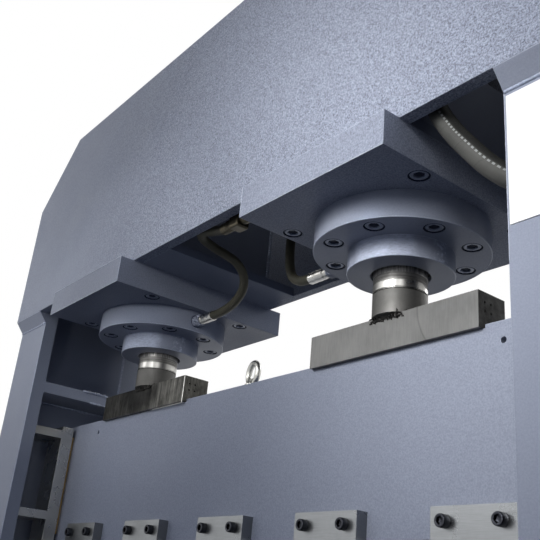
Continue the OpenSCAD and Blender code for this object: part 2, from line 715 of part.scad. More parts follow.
module switch_cabinet() color(paint) {
    difference() {
        block(cab_lo, cab_hi);
        block(cab_lo + [-1, sheet_t, sheet_t], cab_hi - sheet_t * [1, 1, 1]);
        bar_z([-960, 0, cab_lo[2] - 1], 16, 6);
    }
    for (z = hinge_zs) {
        for (z0 = [z, z + door_knuckle[1] + 0.5]) {
            bar_z([hinge_x, hinge_y, z0], hinge_r, knuckle_h);
            block([hinge_x, cab_hi[1] - 0.5, z0], [hinge_x + 50, hinge_y + 4, z0 + knuckle_h]);
        }
        bar_z([hinge_x, hinge_y, z], pin_r, door_knuckle[1] + knuckle_h);
    }
}

module cabinet_door() color(paint) difference() {
    union() {
        block([cab_lo[0] - door_gap - door_t, cab_lo[1] + 2, cab_lo[2] + 2],
            [cab_lo[0] - door_gap, cab_hi[1] - 2, cab_hi[2] - 2]);
        for (z = hinge_zs) {
            bar_z([hinge_x, hinge_y, z + door_knuckle[0]], hinge_r,
                door_knuckle[1] - door_knuckle[0]);
            block([hinge_x - hinge_r, cab_hi[1] - 3, z + door_knuckle[0]],
                [hinge_x + 5, hinge_y, z + door_knuckle[1]]);
        }
    }
    for (z = hinge_zs) bar_z([hinge_x, hinge_y, z + knuckle_h], pin_r + run_gap, 41);
    bar_x([cab_lo[0] - 20, 0, switch_z], switch_r + run_gap, 30);
}

module main_switch() color([0.75, 0.08, 0.06]) {
    face = cab_lo[0] - door_gap - door_t;
    bar_x([face - 1, 0, switch_z], switch_r, door_t + 20);
    bar_x([face - 16, 0, switch_z], 26, 15);
    block([face - 36, -7, switch_z - 26], [face - 15, 7, switch_z + 26]);
}

// ---- Back gauge ----

module gauge_arms() color(dark_steel) {
    difference() {
        union() {
            for (side = [-1, 1]) on_side(side) {
                block([arm_x - 60, skin_y, 650], [arm_x + 60, skin_y + 15, gauge_axis_z]);
                block([arm_x - arm_half, skin_y + 14, arm_z - 60],
                    [arm_x + arm_half, arm_end + 1, arm_z]);
                block([arm_x - rail_half, skin_y + 14, arm_z - 1],
                    [arm_x + rail_half, arm_end + 1, arm_z + 15]);
            }
            block([-arm_x - arm_half, arm_end, arm_z - 60],
                [arm_x + arm_half, arm_end + 15, gauge_axis_z + 30]);
        }
        bar_y([0, arm_end - 1, gauge_axis_z], gauge_screw_r + run_gap, 17);
    }
    difference() {
        block([-40, skin_y, arm_z - 2], [40, skin_y + 25, gauge_axis_z + 40]);
        bar_y([0, skin_y - 1, gauge_axis_z], gauge_screw_r + run_gap, 27);
    }
}

module gauge_beam() color(bare_steel) difference() {
    saddle_z = gauge_beam_z[0] + 1;
    union() {
        block([-560, gauge_y - 30, gauge_beam_z[0]], [560, gauge_y + 30, gauge_beam_z[1]]);
        for (side = [-1, 1]) on_side(side) block([arm_x - 40, gauge_y - 50, arm_z + slide_gap],
            [arm_x + 40, gauge_y + 50, saddle_z]);
        block([-25, gauge_y - 20, gauge_axis_z - 25], [25, gauge_y + 20, saddle_z]);
    }
    for (side = [-1, 1]) on_side(side)
        block([arm_x - rail_half - slide_gap, gauge_y - 60, arm_z],
            [arm_x + rail_half + slide_gap, gauge_y + 60, arm_z + 15 + slide_gap]);
    bar_y([0, gauge_y - 21, gauge_axis_z], gauge_screw_r + run_gap, 42);
}

module gauge_finger(side) on_side(side) color(dark_steel) {
    top_z = gauge_beam_z[1];
    difference() {
        block([finger_x - 25, gauge_y - 55, top_z - 30], [finger_x + 25, gauge_y + 50, top_z + 20]);
        block([finger_x - 26, gauge_y - 30 - slide_gap, top_z - 31],
            [finger_x + 26, gauge_y + 30 + slide_gap, top_z + slide_gap]);
    }
    block([finger_x - 15, gauge_y - 200, top_z - 20], [finger_x + 15, gauge_y - 54, top_z + 5]);
    bar_z([finger_x, gauge_y, top_z + 19], 7, 12);
    bar_z([finger_x, gauge_y, top_z + 30], 17, 18);
}

module gauge_screw() color(dark_steel) {
    bar_y([0, skin_y + 4, gauge_axis_z], gauge_screw_r, wheel_y + 6 - skin_y);
    for (y = [skin_y + 25, arm_end + 15]) bar_y([0, y + slide_gap, gauge_axis_z], 17, 10);
    bar_y([0, wheel_y - 13, gauge_axis_z], 22, 26);
    translate([0, wheel_y, gauge_axis_z]) rotate([90, 0, 0]) rotate_extrude()
        translate([75, 0]) circle(r = 8, $fn = 24);
    for (a = [90, 210, 330]) translate([0, wheel_y, gauge_axis_z]) rotate([0, a, 0])
        translate([18, 0, 0]) rotate([0, 90, 0]) cylinder(r = 6, h = 52);
    bar_y([0, wheel_y + 3, gauge_axis_z + 75], 9, 62);
}

column(-1);  // column_left
column(1);  // column_right
base_plates();
levelling_screws();
front_plate();
rear_plate();
roof_plates();
beam_ribs();
cylinder_block(-1);  // cylinder_block_left
cylinder_block(1);  // cylinder_block_right
cylinder_tubes();
cylinder_caps();
gland(-1);  // gland_left
gland(1);  // gland_right
cylinder_screws();
wiper_seals();
guide_rails();
table_top();
table_side_plates();
table_ribs();
die_rail();
die_screws();
vee_die();
rod_hose_left();
rod_hose_right();
supply_hose();
hose_ferrules();
port_adapters();
tee_fitting();
steel_pipes();
valve_manifold();
label_plate();
oil_tank();
tank_lid();
motor();
valve_block();
control_box();
switch_cabinet();
cabinet_door();
main_switch();
up_button();
down_button();
stop_button();
piston_rods();
pistons();
rod_noses();
saddle_bar(-1);  // saddle_bar_left
saddle_bar(1);  // saddle_bar_right
ram_plate();
eye_bolt();
guide_shoes();
tool_holders();
clamp_plates();
clamp_screws();
punch();
gauge_arms();
gauge_beam();
gauge_finger(-1);  // gauge_finger_left
gauge_finger(1);  // gauge_finger_right
gauge_screw();
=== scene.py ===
# %% [markdown]
# # A hydraulic press brake, dressed
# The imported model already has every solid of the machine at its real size. This notebook keeps those
# solids as they are, gives each one a finish, and adds what a solid model leaves plain: welds, hose
# ends, threads, cooling fins and screws with real sockets. Lengths are in metres.

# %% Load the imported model
import json
import math

import bmesh
import bpy
import numpy as np
from mathutils import Matrix, Vector


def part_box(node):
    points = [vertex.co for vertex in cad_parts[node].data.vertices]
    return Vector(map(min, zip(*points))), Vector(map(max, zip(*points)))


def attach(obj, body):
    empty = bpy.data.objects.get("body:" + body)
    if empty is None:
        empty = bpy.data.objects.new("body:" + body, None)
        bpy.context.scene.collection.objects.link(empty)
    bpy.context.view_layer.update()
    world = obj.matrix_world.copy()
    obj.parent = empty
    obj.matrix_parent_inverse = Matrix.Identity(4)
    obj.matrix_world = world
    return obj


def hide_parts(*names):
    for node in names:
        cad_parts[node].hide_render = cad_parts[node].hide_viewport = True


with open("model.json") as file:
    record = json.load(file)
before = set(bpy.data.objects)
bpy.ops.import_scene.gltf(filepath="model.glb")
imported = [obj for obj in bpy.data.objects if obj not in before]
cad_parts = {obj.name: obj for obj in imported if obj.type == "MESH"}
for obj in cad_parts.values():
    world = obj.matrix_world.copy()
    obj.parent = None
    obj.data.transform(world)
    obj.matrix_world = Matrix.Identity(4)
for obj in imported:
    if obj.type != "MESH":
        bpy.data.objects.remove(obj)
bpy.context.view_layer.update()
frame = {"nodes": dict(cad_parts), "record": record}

# %% [markdown]
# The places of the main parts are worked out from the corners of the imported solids: `corner` gives
# the lowest (0) or highest (1) corner of a solid. The hoses' routes and the small fittings of the
# power pack and the controls are given as numbers in the same frame.


# %% Places taken from the solids
def corner(node, which):
    """Lowest (0) or highest (1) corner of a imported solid, as three numbers."""
    return np.array(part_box(node)[which])


MM = 0.001
BLOCK = corner("cylinder_block_right", 0)          # lower corner of the right cylinder block
BLOCK_TOP = corner("cylinder_block_right", 1)
BLOCK_Z = BLOCK[2]
AXIS_X = (BLOCK[0] + BLOCK_TOP[0]) / 2              # the cylinders stand at -AXIS_X and +AXIS_X
SKIN = corner("front_plate", 0)
SKIN_TOP = corner("front_plate", 1)
FRONT_Y = SKIN_TOP[1]                               # front faces of the columns
WEB_X = SKIN_TOP[0]
RAM = corner("ram_plate", 0)
RAM_TOP = corner("ram_plate", 1)
BAR = corner("saddle_bar_right", 0)
BAR_TOP = corner("saddle_bar_right", 1)
GLAND = corner("gland_right", 0)
GLAND_TOP = corner("gland_right", 1)
FLANGE_R = (GLAND_TOP[0] - GLAND[0]) / 2
PORT_Z = BLOCK_Z - 23.5 * MM                        # height of the oil ports in the flanges
print("cylinders at x = +-%.3f, blocks at z = %.3f" % (AXIS_X, BLOCK_Z))

# %% [markdown]
# ## The camera
# The machine is looked at from below: the eye is at chest height, in front of the right cylinder and
# close to it, and turned up and to the left. A camera that looks up by more than twenty degrees makes
# the uprights lean together, so no correcting shift is set. Three turns give the direction: round the
# upright axis, then up, then the small roll of a camera held in the hand.

# %% Camera
EYE = Vector((1.2223, -0.8881, BLOCK_Z - 0.606))
TURN_LEFT, TURN_UP, ROLL = 53.51, 23.13, 5.516      # degrees
camera_data = bpy.data.cameras.new("camera")
camera_data.sensor_width = 36
camera_data.lens = 52.81
camera_data.clip_start = 0.05
camera = bpy.data.objects.new("camera", camera_data)
bpy.context.scene.collection.objects.link(camera)
aim = (
    Matrix.Rotation(math.radians(TURN_LEFT), 4, "Z")
    @ Matrix.Rotation(math.radians(90 + TURN_UP), 4, "X")
    @ Matrix.Rotation(math.radians(ROLL), 4, "Z")
)
camera.matrix_world = Matrix.Translation(EYE) @ aim
bpy.context.scene.camera = camera
print("camera at", tuple(round(v, 3) for v in EYE))

# %% [markdown]
# ## Where the hoses run
# All three hoses are held at both ends, so their routes are lists of given points, the same
# as in the solid model: x and y in millimetres, and the height counted from the blocks' underside.
# A Catmull-Rom curve goes through every point and leaves each in the direction of its neighbours.

# %% Hose routes
LEFT_ROUTE = [(-170, 0, -23.5), (-134, 0, -21.5), (-96, 0, -12), (-66, -2, 10), (-54, -12, 36),
              (-46, -38, 54), (-44, -70, 62), (-47, -102, 70), (-40, -132, 76), (-14, -150, 74),
              (18, -150, 65), (58, -146, 57)]
RIGHT_ROUTE = [(154, 0, -23.5), (124, 0, -20), (100, 0, -6), (88, 0, 18), (83, 0, 58),
               (84, 0, 110), (85, 0, 176)]
SUPPLY_ROUTE = [(540, -60, 390), (540, -61, 320), (541, -72, 250), (547, -96, 183),
                (562, -126, 124), (585, -140, 75), (612, -140, 28), (638, -140, -8),
                (658, -135, -35), (674, -128, -53), (690, -119, -66), (720, -112, -80),
                (760, -102, -87), (800, -90, -85), (836, -82, -80), (868, -80, -79),
                (924, -82, -90), (970, -88, -124), (994, -96, -178), (1002, -108, -250),
                (1001, -118, -400), (1000, -120, -600), (1000, -120, -830)]


def from_block(points):
    """Points in millimetres, counted from the height of the blocks' underside, as metres."""
    return np.array(points, float) * MM + [0, 0, BLOCK_Z]


def through(route, steps):
    """Catmull-Rom curve. Between b and c it is half of
    2b + (c-a)t + (2a-5b+4c-d)t^2 + (3b-a-3c+d)t^3."""
    p = from_block(route)
    ends = np.vstack([p[:1], p, p[-1:]])
    a, b, c, d = (ends[i:len(ends) - 3 + i, None] for i in range(4))
    t = (np.arange(steps) / steps)[None, :, None]
    curve = 0.5 * (2 * b + (c - a) * t + (2 * a - 5 * b + 4 * c - d) * t**2
                   + (3 * b - a - 3 * c + d) * t**3)
    return np.vstack([curve.reshape(-1, 3), p[-1:]])


def length_of(path):
    """Sum of the distances between neighbouring points."""
    return np.linalg.norm(np.diff(path, axis=0), axis=1).sum()


for name, route in (("left", LEFT_ROUTE), ("right", RIGHT_ROUTE), ("supply", SUPPLY_ROUTE)):
    print(name, "hose: %.3f m" % length_of(through(route, 12)))

# %% [markdown]
# ## Shapes from numbers
# A surface is a grid of points: a function of two parameters, worked out for the whole grid at once.
# `grid` joins neighbours into four-cornered faces, `turned` carries a profile round an axis, `swept`
# carries a circle along a path, and `scatter` repeats one shape at many places. A shape is a pair:
# an array of points and a list of faces.


# %% Grids and turned shapes
def grid(points, wrap_u=False, wrap_v=False):
    """Faces between neighbours of points[u, v]; wrap joins the last row or column to the first.
    A tube, wrapped along v only, is closed at both ends."""
    nu, nv = points.shape[:2]
    ids = np.arange(nu * nv).reshape(nu, nv)
    rows = np.vstack([ids, ids[:1]]) if wrap_u else ids
    cols = np.hstack([rows, rows[:, :1]]) if wrap_v else rows
    quads = np.stack([cols[:-1, :-1], cols[1:, :-1], cols[1:, 1:], cols[:-1, 1:]], -1)
    faces = quads.reshape(-1, 4).tolist()
    if wrap_v and not wrap_u:
        faces += [ids[0].tolist(), ids[-1][::-1].tolist()]
    return points.reshape(-1, 3), faces


def angles(sides):
    """Equal steps round a circle, in radians."""
    return np.arange(sides) * 2 * np.pi / sides


def turned(profile, sides=48, shape_of=None):
    """Radius r and height z carried round Z: (r cos a, r sin a, z). shape_of(a) scales marked rings.

    A third number in a profile point, from 0 to 1, says how much of shape_of applies to its ring."""
    p = np.array([tuple(q) + (0,) * (3 - len(q)) for q in profile], float)
    a = angles(sides)
    around = np.ones(sides) if shape_of is None else shape_of(a)
    r = p[:, :1] * (1 + p[:, 2:3] * (around[None] - 1))
    z = np.broadcast_to(p[:, 1:2], r.shape)
    return grid(np.stack([r * np.cos(a), r * np.sin(a), z], -1), wrap_v=True)



print("a cone of 48 sides has", len(turned([(0, 0), (1, 0), (0, 1)])[1]), "faces")

# %% [markdown]
# A hose, a weld and a worn edge are all a circle carried along a path. Blender's curve objects could
# do it too, but an array of radii lets a tube swell and shrink, as a weld bead does.

# %% Tubes along a path
def frames_along(path, reference):
    """Unit tangent, and two directions square to it, at each point of a path. The first of the two is
    the reference with its share along the tangent taken off."""
    t = np.gradient(path, axis=0)
    t /= np.linalg.norm(t, axis=1, keepdims=True)
    n = reference - (t @ reference)[:, None] * t
    n /= np.linalg.norm(n, axis=1, keepdims=True)
    return t, n, np.cross(t, n)


def swept(path, radius, sides=24, reference=(0.1, 1, 0.2)):
    """Circle of a radius, or of one radius per point or per point and angle, carried along a path."""
    path = np.asarray(path, float)
    _, n, b = frames_along(path, np.array(reference, float))
    a = angles(sides)
    r = np.broadcast_to(np.asarray(radius, float).reshape(-1, 1)
                        if np.ndim(radius) < 2 else radius, (len(path), sides))
    outline = np.cos(a)[None, :, None] * n[:, None] + np.sin(a)[None, :, None] * b[:, None]
    return grid(path[:, None] + r[..., None] * outline, wrap_v=True)


def torus(big, small, sides=48, section=20):
    """Circle of radius small carried round a circle of radius big, lying level."""
    u, v = np.meshgrid(angles(sides), angles(section), indexing="ij")
    r = big + small * np.cos(v)
    return grid(np.stack([r * np.cos(u), r * np.sin(u), small * np.sin(v)], -1),
                wrap_u=True, wrap_v=True)



print("a ring of 48 by 20 has", len(torus(2, 1)[1]), "faces")

# %% [markdown]
# The machine's drawings are in millimetres, so small parts are written that way and scaled here.
# Blocks and washers are so plain that their outlines are enough.

# %% Blocks and rings in millimetres
def mm(*points):
    """Points given in millimetres, as metres. The third number of a profile point, its share of
    shape_of, stays as it is."""
    return [(q[0] * MM, q[1] * MM, *q[2:]) for q in points]


def prism(outline, height):
    """Outline of (x, y) points, carried from z = 0 to a height."""
    flat = np.array(outline, float)
    rings = np.stack([np.column_stack([flat, np.full(len(flat), z)]) for z in (0, height)])
    return grid(rings, wrap_v=True)


def slab(low, high):
    """Block between two opposite corners."""
    (x0, y0, z0), (x1, y1, z1) = low, high
    points, faces = prism([(x0, y0), (x1, y0), (x1, y1), (x0, y1)], z1 - z0)
    return points + [0, 0, z0], faces


def slab_mm(low, high):
    """Block between two opposite corners given in millimetres."""
    return slab(np.array(low) * MM, np.array(high) * MM)


def ring(profile, sides=48):
    """Closed profile of (r, z) in millimetres carried round Z, such as a washer or a seal."""
    p = np.array(profile, float) * MM
    a = angles(sides)
    points = np.stack([p[:, :1] * np.cos(a), p[:, :1] * np.sin(a), p[:, 1:] + 0 * a], -1)
    return grid(points, wrap_u=True, wrap_v=True)


print("a washer has", len(ring([(5, 0), (8, 0), (8, 1), (5, 1)])[1]), "faces")

# %% [markdown]
# A shape is made once, at the origin and pointing up. `along` turns it about its own axis, points it
# along one of six directions and moves it; `join` and `mirrored` then build up one side of the
# machine and give the other. Many small objects would do too, but one mesh of a kind loads faster.

# %% Moving, repeating and joining shapes
AXES = {"x": [[0, 0, 1], [1, 0, 0], [0, 1, 0]], "-x": [[0, 0, -1], [-1, 0, 0], [0, 1, 0]],
        "y": [[1, 0, 0], [0, 0, 1], [0, -1, 0]], "-y": [[1, 0, 0], [0, 0, -1], [0, 1, 0]],
        "z": [[1, 0, 0], [0, 1, 0], [0, 0, 1]], "-z": [[1, 0, 0], [0, -1, 0], [0, 0, -1]]}


def along(shape, axis="z", at=(0, 0, 0), turn=0):
    """Turns a shape about its own Z by some degrees, points its Z along an axis, and moves it."""
    points, faces = shape
    c, s = math.cos(math.radians(turn)), math.sin(math.radians(turn))
    spun = points @ np.array([[c, -s, 0], [s, c, 0], [0, 0, 1]]).T
    return spun @ np.array(AXES[axis], float).T + np.array(at, float), faces


def scatter(shape, places):
    """The same shape at each place: every point plus every offset, and the faces' numbers to suit."""
    points, faces = shape
    places = np.atleast_2d(np.array(places, float))
    moved = (points[None] + places[:, None]).reshape(-1, 3)
    step = len(points)
    return moved, [[v + k * step for v in f] for k in range(len(places)) for f in faces]


def join(*shapes):
    """Several shapes as one."""
    counts = np.cumsum([0] + [len(s[0]) for s in shapes])
    faces = [[v + c for v in f] for s, c in zip(shapes, counts) for f in s[1]]
    return np.vstack([s[0] for s in shapes]), faces


def mirrored(shape):
    """The same shape on the other side of the middle, with its faces turned back outwards."""
    return shape[0] * [-1, 1, 1], [f[::-1] for f in shape[1]]


print("directions:", ", ".join(AXES))


# %% [markdown]
# `piece` makes the Blender object. Points that fall together at a pole are merged, normals are worked
# out again so that they all point outwards, and edges sharper than an angle stay sharp while the rest
# is shaded smooth. A piece that gets a bevel catches the light along its edges as real parts do.


# %% From a shape to a piece that rides on a body
def piece(name, shape, finish, body="frame", bevel=0.0, sharp=35):
    """Blender object from a shape, with a finish, riding on a body. bevel is in metres."""
    points, faces = shape
    mesh = bpy.data.meshes.new(name)
    mesh.from_pydata(points.tolist(), [], faces)
    work = bmesh.new()
    work.from_mesh(mesh)
    bmesh.ops.remove_doubles(work, verts=work.verts, dist=1e-6)
    bmesh.ops.recalc_face_normals(work, faces=work.faces)
    for edge in work.edges:
        edge.smooth = len(edge.link_faces) == 2 and edge.calc_face_angle(0) < math.radians(sharp)
    for face in work.faces:
        face.smooth = True
    work.to_mesh(mesh)
    work.free()
    made = bpy.data.objects.new(name, mesh)
    bpy.context.scene.collection.objects.link(made)
    if bevel:
        rounding = made.modifiers.new("edges", "BEVEL")
        rounding.width, rounding.segments, rounding.limit_method = bevel, 2, "ANGLE"
        rounding.harden_normals = True
    mesh.materials.append(finish)
    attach(made, body)
    return made


# %% [markdown]
# ## Finishes
# No finish here uses a picture: each is worked out at every point of the surface from the point's own
# coordinates. `add` puts one node into a material, `spots` reads a noise stretched along X, Y or Z,
# `ramp` turns its value into another, and `relief` turns it into small heights.


# %% Building blocks of a finish
def add(tree, kind, inputs=None, **settings):
    """Adds a shader node; inputs are numbers, colours or the outputs of other nodes."""
    made = tree.nodes.new("ShaderNode" + kind)
    for key, value in settings.items():
        setattr(made, key, value)
    for key, value in (inputs or {}).items():
        if isinstance(value, bpy.types.NodeSocket):
            tree.links.new(value, made.inputs[key])
        else:
            made.inputs[key].default_value = value
    return made


def place(tree, scale=(1, 1, 1), centre=(0, 0, 0)):
    """Object coordinates, counted from a centre and then stretched along each axis."""
    source = tree.nodes.get("Texture Coordinate") or add(tree, "TexCoord")
    shift = [-c * s for c, s in zip(centre, scale)]
    return add(tree, "Mapping", {"Vector": source.outputs["Object"], "Scale": scale,
                                 "Location": shift}).outputs["Vector"]


def spots(tree, scale, detail=3.0, stretch=(1, 1, 1), vector=None, rough=0.55):
    """Noise from 0 to 1 with about `scale` spots to a metre, drawn out where stretch is small."""
    return add(tree, "TexNoise", {"Vector": vector or place(tree, stretch), "Scale": scale,
                                  "Detail": detail, "Roughness": rough}).outputs["Fac"]


def ramp(tree, value, *stops):
    """Colour or grey that goes through (position, colour) stops as the value goes from 0 to 1."""
    made = add(tree, "ValToRGB", {"Fac": value})
    bar = made.color_ramp.elements
    while len(bar) < len(stops):
        bar.new(0.5)
    for element, (at, colour) in zip(bar, stops):
        element.position = at
        element.color = (*colour, 1) if hasattr(colour, "__len__") else (colour, colour, colour, 1)
    return made.outputs["Color"]


def blend(tree, share, first, second, how="MIX"):
    """Colour between first and second; a share of 1 is all second."""
    made = add(tree, "Mix", data_type="RGBA", blend_type=how)
    for key, value in ((0, share), (6, first), (7, second)):
        if isinstance(value, bpy.types.NodeSocket):
            tree.links.new(value, made.inputs[key])
        else:
            made.inputs[key].default_value = (*value, 1) if key else value
    return made.outputs[2]


# %% [markdown]
# Wear, dirt and grain are sums on single values. Small heights become a turned normal, which costs
# far less than real bumps, and the rounded edges of a sharp solid are only a normal as well.

# %% Sums, heights and edges
def maths(tree, how, first, second=0.0):
    """One sum on two values, such as MULTIPLY or ADD."""
    made = add(tree, "Math", operation=how)
    for key, value in ((0, first), (1, second)):
        if isinstance(value, bpy.types.NodeSocket):
            tree.links.new(value, made.inputs[key])
        else:
            made.inputs[key].default_value = value
    return made.outputs[0]


def times(tree, first, second):
    """Product of two values."""
    return maths(tree, "MULTIPLY", first, second)


def tinted(tree, colour, factor):
    """Colour multiplied by another, channel by channel."""
    return blend(tree, 1.0, colour, factor, "MULTIPLY")


def relief(tree, height, distance, below=None, strength=1.0):
    """Normal for small heights of up to `distance` metres, on top of another normal."""
    inputs = {"Height": height, "Distance": distance, "Strength": strength}
    if below is not None:
        inputs["Normal"] = below
    return add(tree, "Bump", inputs).outputs["Normal"]


def edges(tree, radius):
    """Normal of the same solid with its edges rounded, and how much it turned, from 0 to 1."""
    soft = add(tree, "Bevel", {"Radius": radius}, samples=4).outputs["Normal"]
    flat = add(tree, "NewGeometry").outputs["Normal"]
    turned_by = add(tree, "VectorMath", {0: soft, 1: flat}, operation="DOT_PRODUCT").outputs["Value"]
    return soft, maths(tree, "SUBTRACT", 1.0, turned_by)


# %% [markdown]
# Every finish starts from one principled shader. Its constant values are set first, and what varies
# over the surface is wired in afterwards.

# %% An empty finish
def finish(name, colour, rough, metal=0.0, **sockets):
    """Empty finish: a material with one principled shader, whose constant values are set on it."""
    material = bpy.data.materials.new(name)
    material.use_nodes = True
    shader = material.node_tree.nodes["Principled BSDF"]
    shader.inputs["Base Color"].default_value = (*colour, 1)
    shader.inputs["Roughness"].default_value = rough
    shader.inputs["Metallic"].default_value = metal
    for key, value in sockets.items():
        shader.inputs[key.replace("_", " ")].default_value = value
    return material, material.node_tree, shader


def wire(tree, shader, **links):
    """Joins outputs to the shader's sockets, such as Base_Color=..., Roughness=..., Normal=..."""
    for key, output in links.items():
        tree.links.new(output, shader.inputs[key.replace("_", " ")])


def shade(colour, factor):
    """The same colour, lighter or darker."""
    return tuple(min(1.0, c * factor) for c in colour)


print("a grey made twice as light:", shade((0.25, 0.25, 0.25), 2))


# %% [markdown]
# ### Machine enamel
# The frame, ram and cylinders carry a satin blue-grey enamel, sprayed over plate that was blasted and
# brushed. Close up it has a fine grit, a slightly cloudy gloss, and a lighter line along sharp edges,
# partly paint worn thin there and partly a painted highlight. The ram's faces were ground first, so
# upright grinding marks show through. The glands were turned, so rings show through, and their
# bosses carry a painted sheen: patches on the side that faces the front are made paler, with a small
# painted glint on the side that faces right. One function makes all of them: `grit` is the strength
# of the grain, `grain` stretches the grinding marks, and `rings_and_sheen_at` counts the rings from a
# cylinder's axis and turns on the bosses' painted sheen.

# %% Marks under the enamel
BLUE_GREY = (0.270, 0.291, 0.352)
GRIT_SCALE, TURNED_SCALE = 420, 1100                # grains, and turned rings, to a metre
FLANGE_Z = BLOCK_Z - 47 * MM                        # underside of the glands' flanges
SHEEN_SIDE = (0.41, -0.91, 0)                      # the way that a boss's painted sheen faces
GLINT_SIDE = (1.0, -0.03, 0)                        # the way that its small painted glint faces


def ring_marks(tree, centre):
    """Fine lines that follow the distance from an upright axis on end faces, and the height on
    sides."""
    at = add(tree, "SeparateXYZ", {0: place(tree, centre=centre)})
    across = add(tree, "CombineXYZ", {0: at.outputs[0], 1: at.outputs[1]})
    out = add(tree, "VectorMath", {0: across.outputs[0]}, operation="LENGTH").outputs["Value"]
    line = add(tree, "CombineXYZ", {0: times(tree, out, TURNED_SCALE),
                                    1: times(tree, at.outputs[2], TURNED_SCALE)})
    return spots(tree, 1.0, 2.0, vector=line.outputs[0])


def height_of(tree):
    """Height of the point of the surface, in metres."""
    return add(tree, "SeparateXYZ", {0: place(tree)}).outputs[2]


# %% [markdown]
# The enamel is built in layers: cloudy colour, speckle, edges made paler (worn paint and a painted
# highlight), then the marks of grinding or turning that show through, and on the bosses the bright
# patches of a painted sheen.

# %% Enamel, layer by layer
def enamel(name, colour=BLUE_GREY, grit=0.35, grain=None, rings_and_sheen_at=None, rough=0.40, shine=0.12,
           calm=None):
    """Sprayed enamel with grit, clouds, pale edges, and the marks of what lies under it."""
    material, tree, shader = finish(name, colour, rough, Specular_IOR_Level=shine,
                                    Specular_Tint=(0.45, 0.62, 1.0, 1.0))
    soft, edge = edges(tree, 2.4 * MM)
    cloudy = spots(tree, 3.0, 4.0)
    grains = ramp(tree, spots(tree, GRIT_SCALE, 3.0), (0.30, 0.0), (0.70, 1.0))
    if calm:
        across = add(tree, "SeparateXYZ", {0: place(tree)}).outputs[0]
        share = ramp(tree, maths(tree, "ADD", across, 1.0), (calm[0], 0.25), (calm[1], 1.0))
        grains = blend(tree, share, (0.5,) * 3, grains)
    tone = blend(tree, cloudy, shade(colour, 0.90), shade(colour, 1.10))
    speckle = blend(tree, grains, (1 - 0.20 * grit,) * 3, (1 + 0.20 * grit,) * 3)
    tone = tinted(tree, tone, speckle)
    # Paler sharp edges: partly paint worn thin, partly a painted highlight.
    worn_and_highlit = ramp(tree, times(tree, edge, spots(tree, 60, 3.0)), (0.03, 0.0), (0.16, 1.0))
    tone = blend(tree, times(tree, worn_and_highlit, 0.65), tone, shade(colour, 2.2))
    normal = relief(tree, grains, 0.30 * MM * grit, soft, 0.5)
    gloss = ramp(tree, spots(tree, 14, 4.0), (0.25, rough - 0.06), (0.8, rough + 0.10))
    if grain:
        normal = relief(tree, spots(tree, 1.0, 3.0, grain), 0.5 * MM, normal, 0.20)
    if rings_and_sheen_at is not None:
        normal = relief(tree, ring_marks(tree, rings_and_sheen_at), 0.4 * MM, normal, 0.30)
        # Painted sheen and glint on the bosses, standing in for reflected light.
        boss = maths(tree, "LESS_THAN", height_of(tree), FLANGE_Z)
        faces, glint = (add(tree, "VectorMath", {0: add(tree, "NewGeometry").outputs["Normal"],
                                                 1: side}, operation="DOT_PRODUCT").outputs["Value"]
                        for side in (SHEEN_SIDE, GLINT_SIDE))
        brushed = ramp(tree, spots(tree, 1.0, 6.0, (110, 110, 380), rough=0.75), (0.36, 0.25),
                       (0.62, 1.0))
        torn = times(tree, spots(tree, 55, 4.0), 0.10)
        ragged = ramp(tree, maths(tree, "ADD", faces, torn), (0.84, 0.0), (0.93, 1.0))
        spark = times(tree, ramp(tree, glint, (0.982, 0.0), (0.996, 0.8)),
                      ramp(tree, spots(tree, 160, 3.0), (0.50, 0.0), (0.60, 1.0)))
        patches = maths(tree, "MAXIMUM", times(tree, ragged, brushed), spark)
        painted_sheen = times(tree, patches, boss)
        tone = blend(tree, times(tree, painted_sheen, 0.75), tone, shade(colour, 1.95))
        gloss = blend(tree, painted_sheen, gloss, (0.42,) * 3)
        wire(tree, shader, Metallic=times(tree, painted_sheen, 0.10))
    wire(tree, shader, Base_Color=tone, Roughness=gloss, Normal=normal)
    return material


# %% [markdown]
# One tin of paint was used, but it looks different on each part: grittier on cast and cut faces,
# smoother on turned ones. The left block's enamel is darker, as painted shade. The paler enamels
# of the rims, edges and welds are painted highlights, and the near-black one is painted shade in
# the gaps round the screw heads and in their sockets.

# %% Enamels of this machine
FRAME_PAINT = enamel("frame_enamel")
RAM_PAINT = enamel("ram_enamel", grain=(700, 700, 14), grit=0.75)
PANEL_PAINT = enamel("panel_enamel", grain=(500, 500, 9), grit=2.8, rough=0.36, calm=(0.45, 0.85))
BLOCK_PAINT = enamel("block_enamel", grit=1.6, rough=0.38)
# Painted shade: the left block gets a darker copy of the block enamel.
SHADED_BLOCK_PAINT = enamel("left_block_shaded_enamel", shade(BLUE_GREY, 0.86), grit=0.8, rough=0.38)
# The glands' enamels carry the bosses' painted sheen and glint.
TURNED_PAINT = {side: enamel("turned_enamel_" + name, rings_and_sheen_at=(side * AXIS_X, 0, BLOCK_Z),
                             rough=0.34, shine=0.17)
                for side, name in ((-1, "left"), (1, "right"))}
CAP_PAINT = enamel("screw_enamel", rough=0.28, shine=0.5)
# Painted shade: near-black enamel for the gaps round screw heads and the floors of their sockets.
SHADE_PAINT = enamel("painted_shade_enamel", (0.012, 0.014, 0.024), rough=0.6)
# Painted highlights: paler, glossier enamels for rims and edges.
RIM_HIGHLIGHT_PAINT = enamel("rim_highlight_enamel", shade(BLUE_GREY, 1.15), rough=0.35, shine=0.3)
HIGHLIGHT_PAINT = enamel("edge_highlight_enamel", shade(BLUE_GREY, 1.7), rough=0.25, shine=0.6)
# Painted glint: the welds' enamel is paler than the frame's.
WELD_GLINT_PAINT = enamel("weld_glint_enamel", shade(BLUE_GREY, 1.2), rough=0.22, shine=0.8)
print("enamels:", [m.name for m in bpy.data.materials if "enamel" in m.name])

# %% [markdown]
# ### Bare steel
# The saddle bars are plain bar, saw-cut and brushed across, oily and stained. The rods are ground and
# chromed, the tools are ground and slightly blackened, and screws and fittings are blackened or zinc
# plated. Brushing is noise drawn out along one axis; stains are large soft noise.

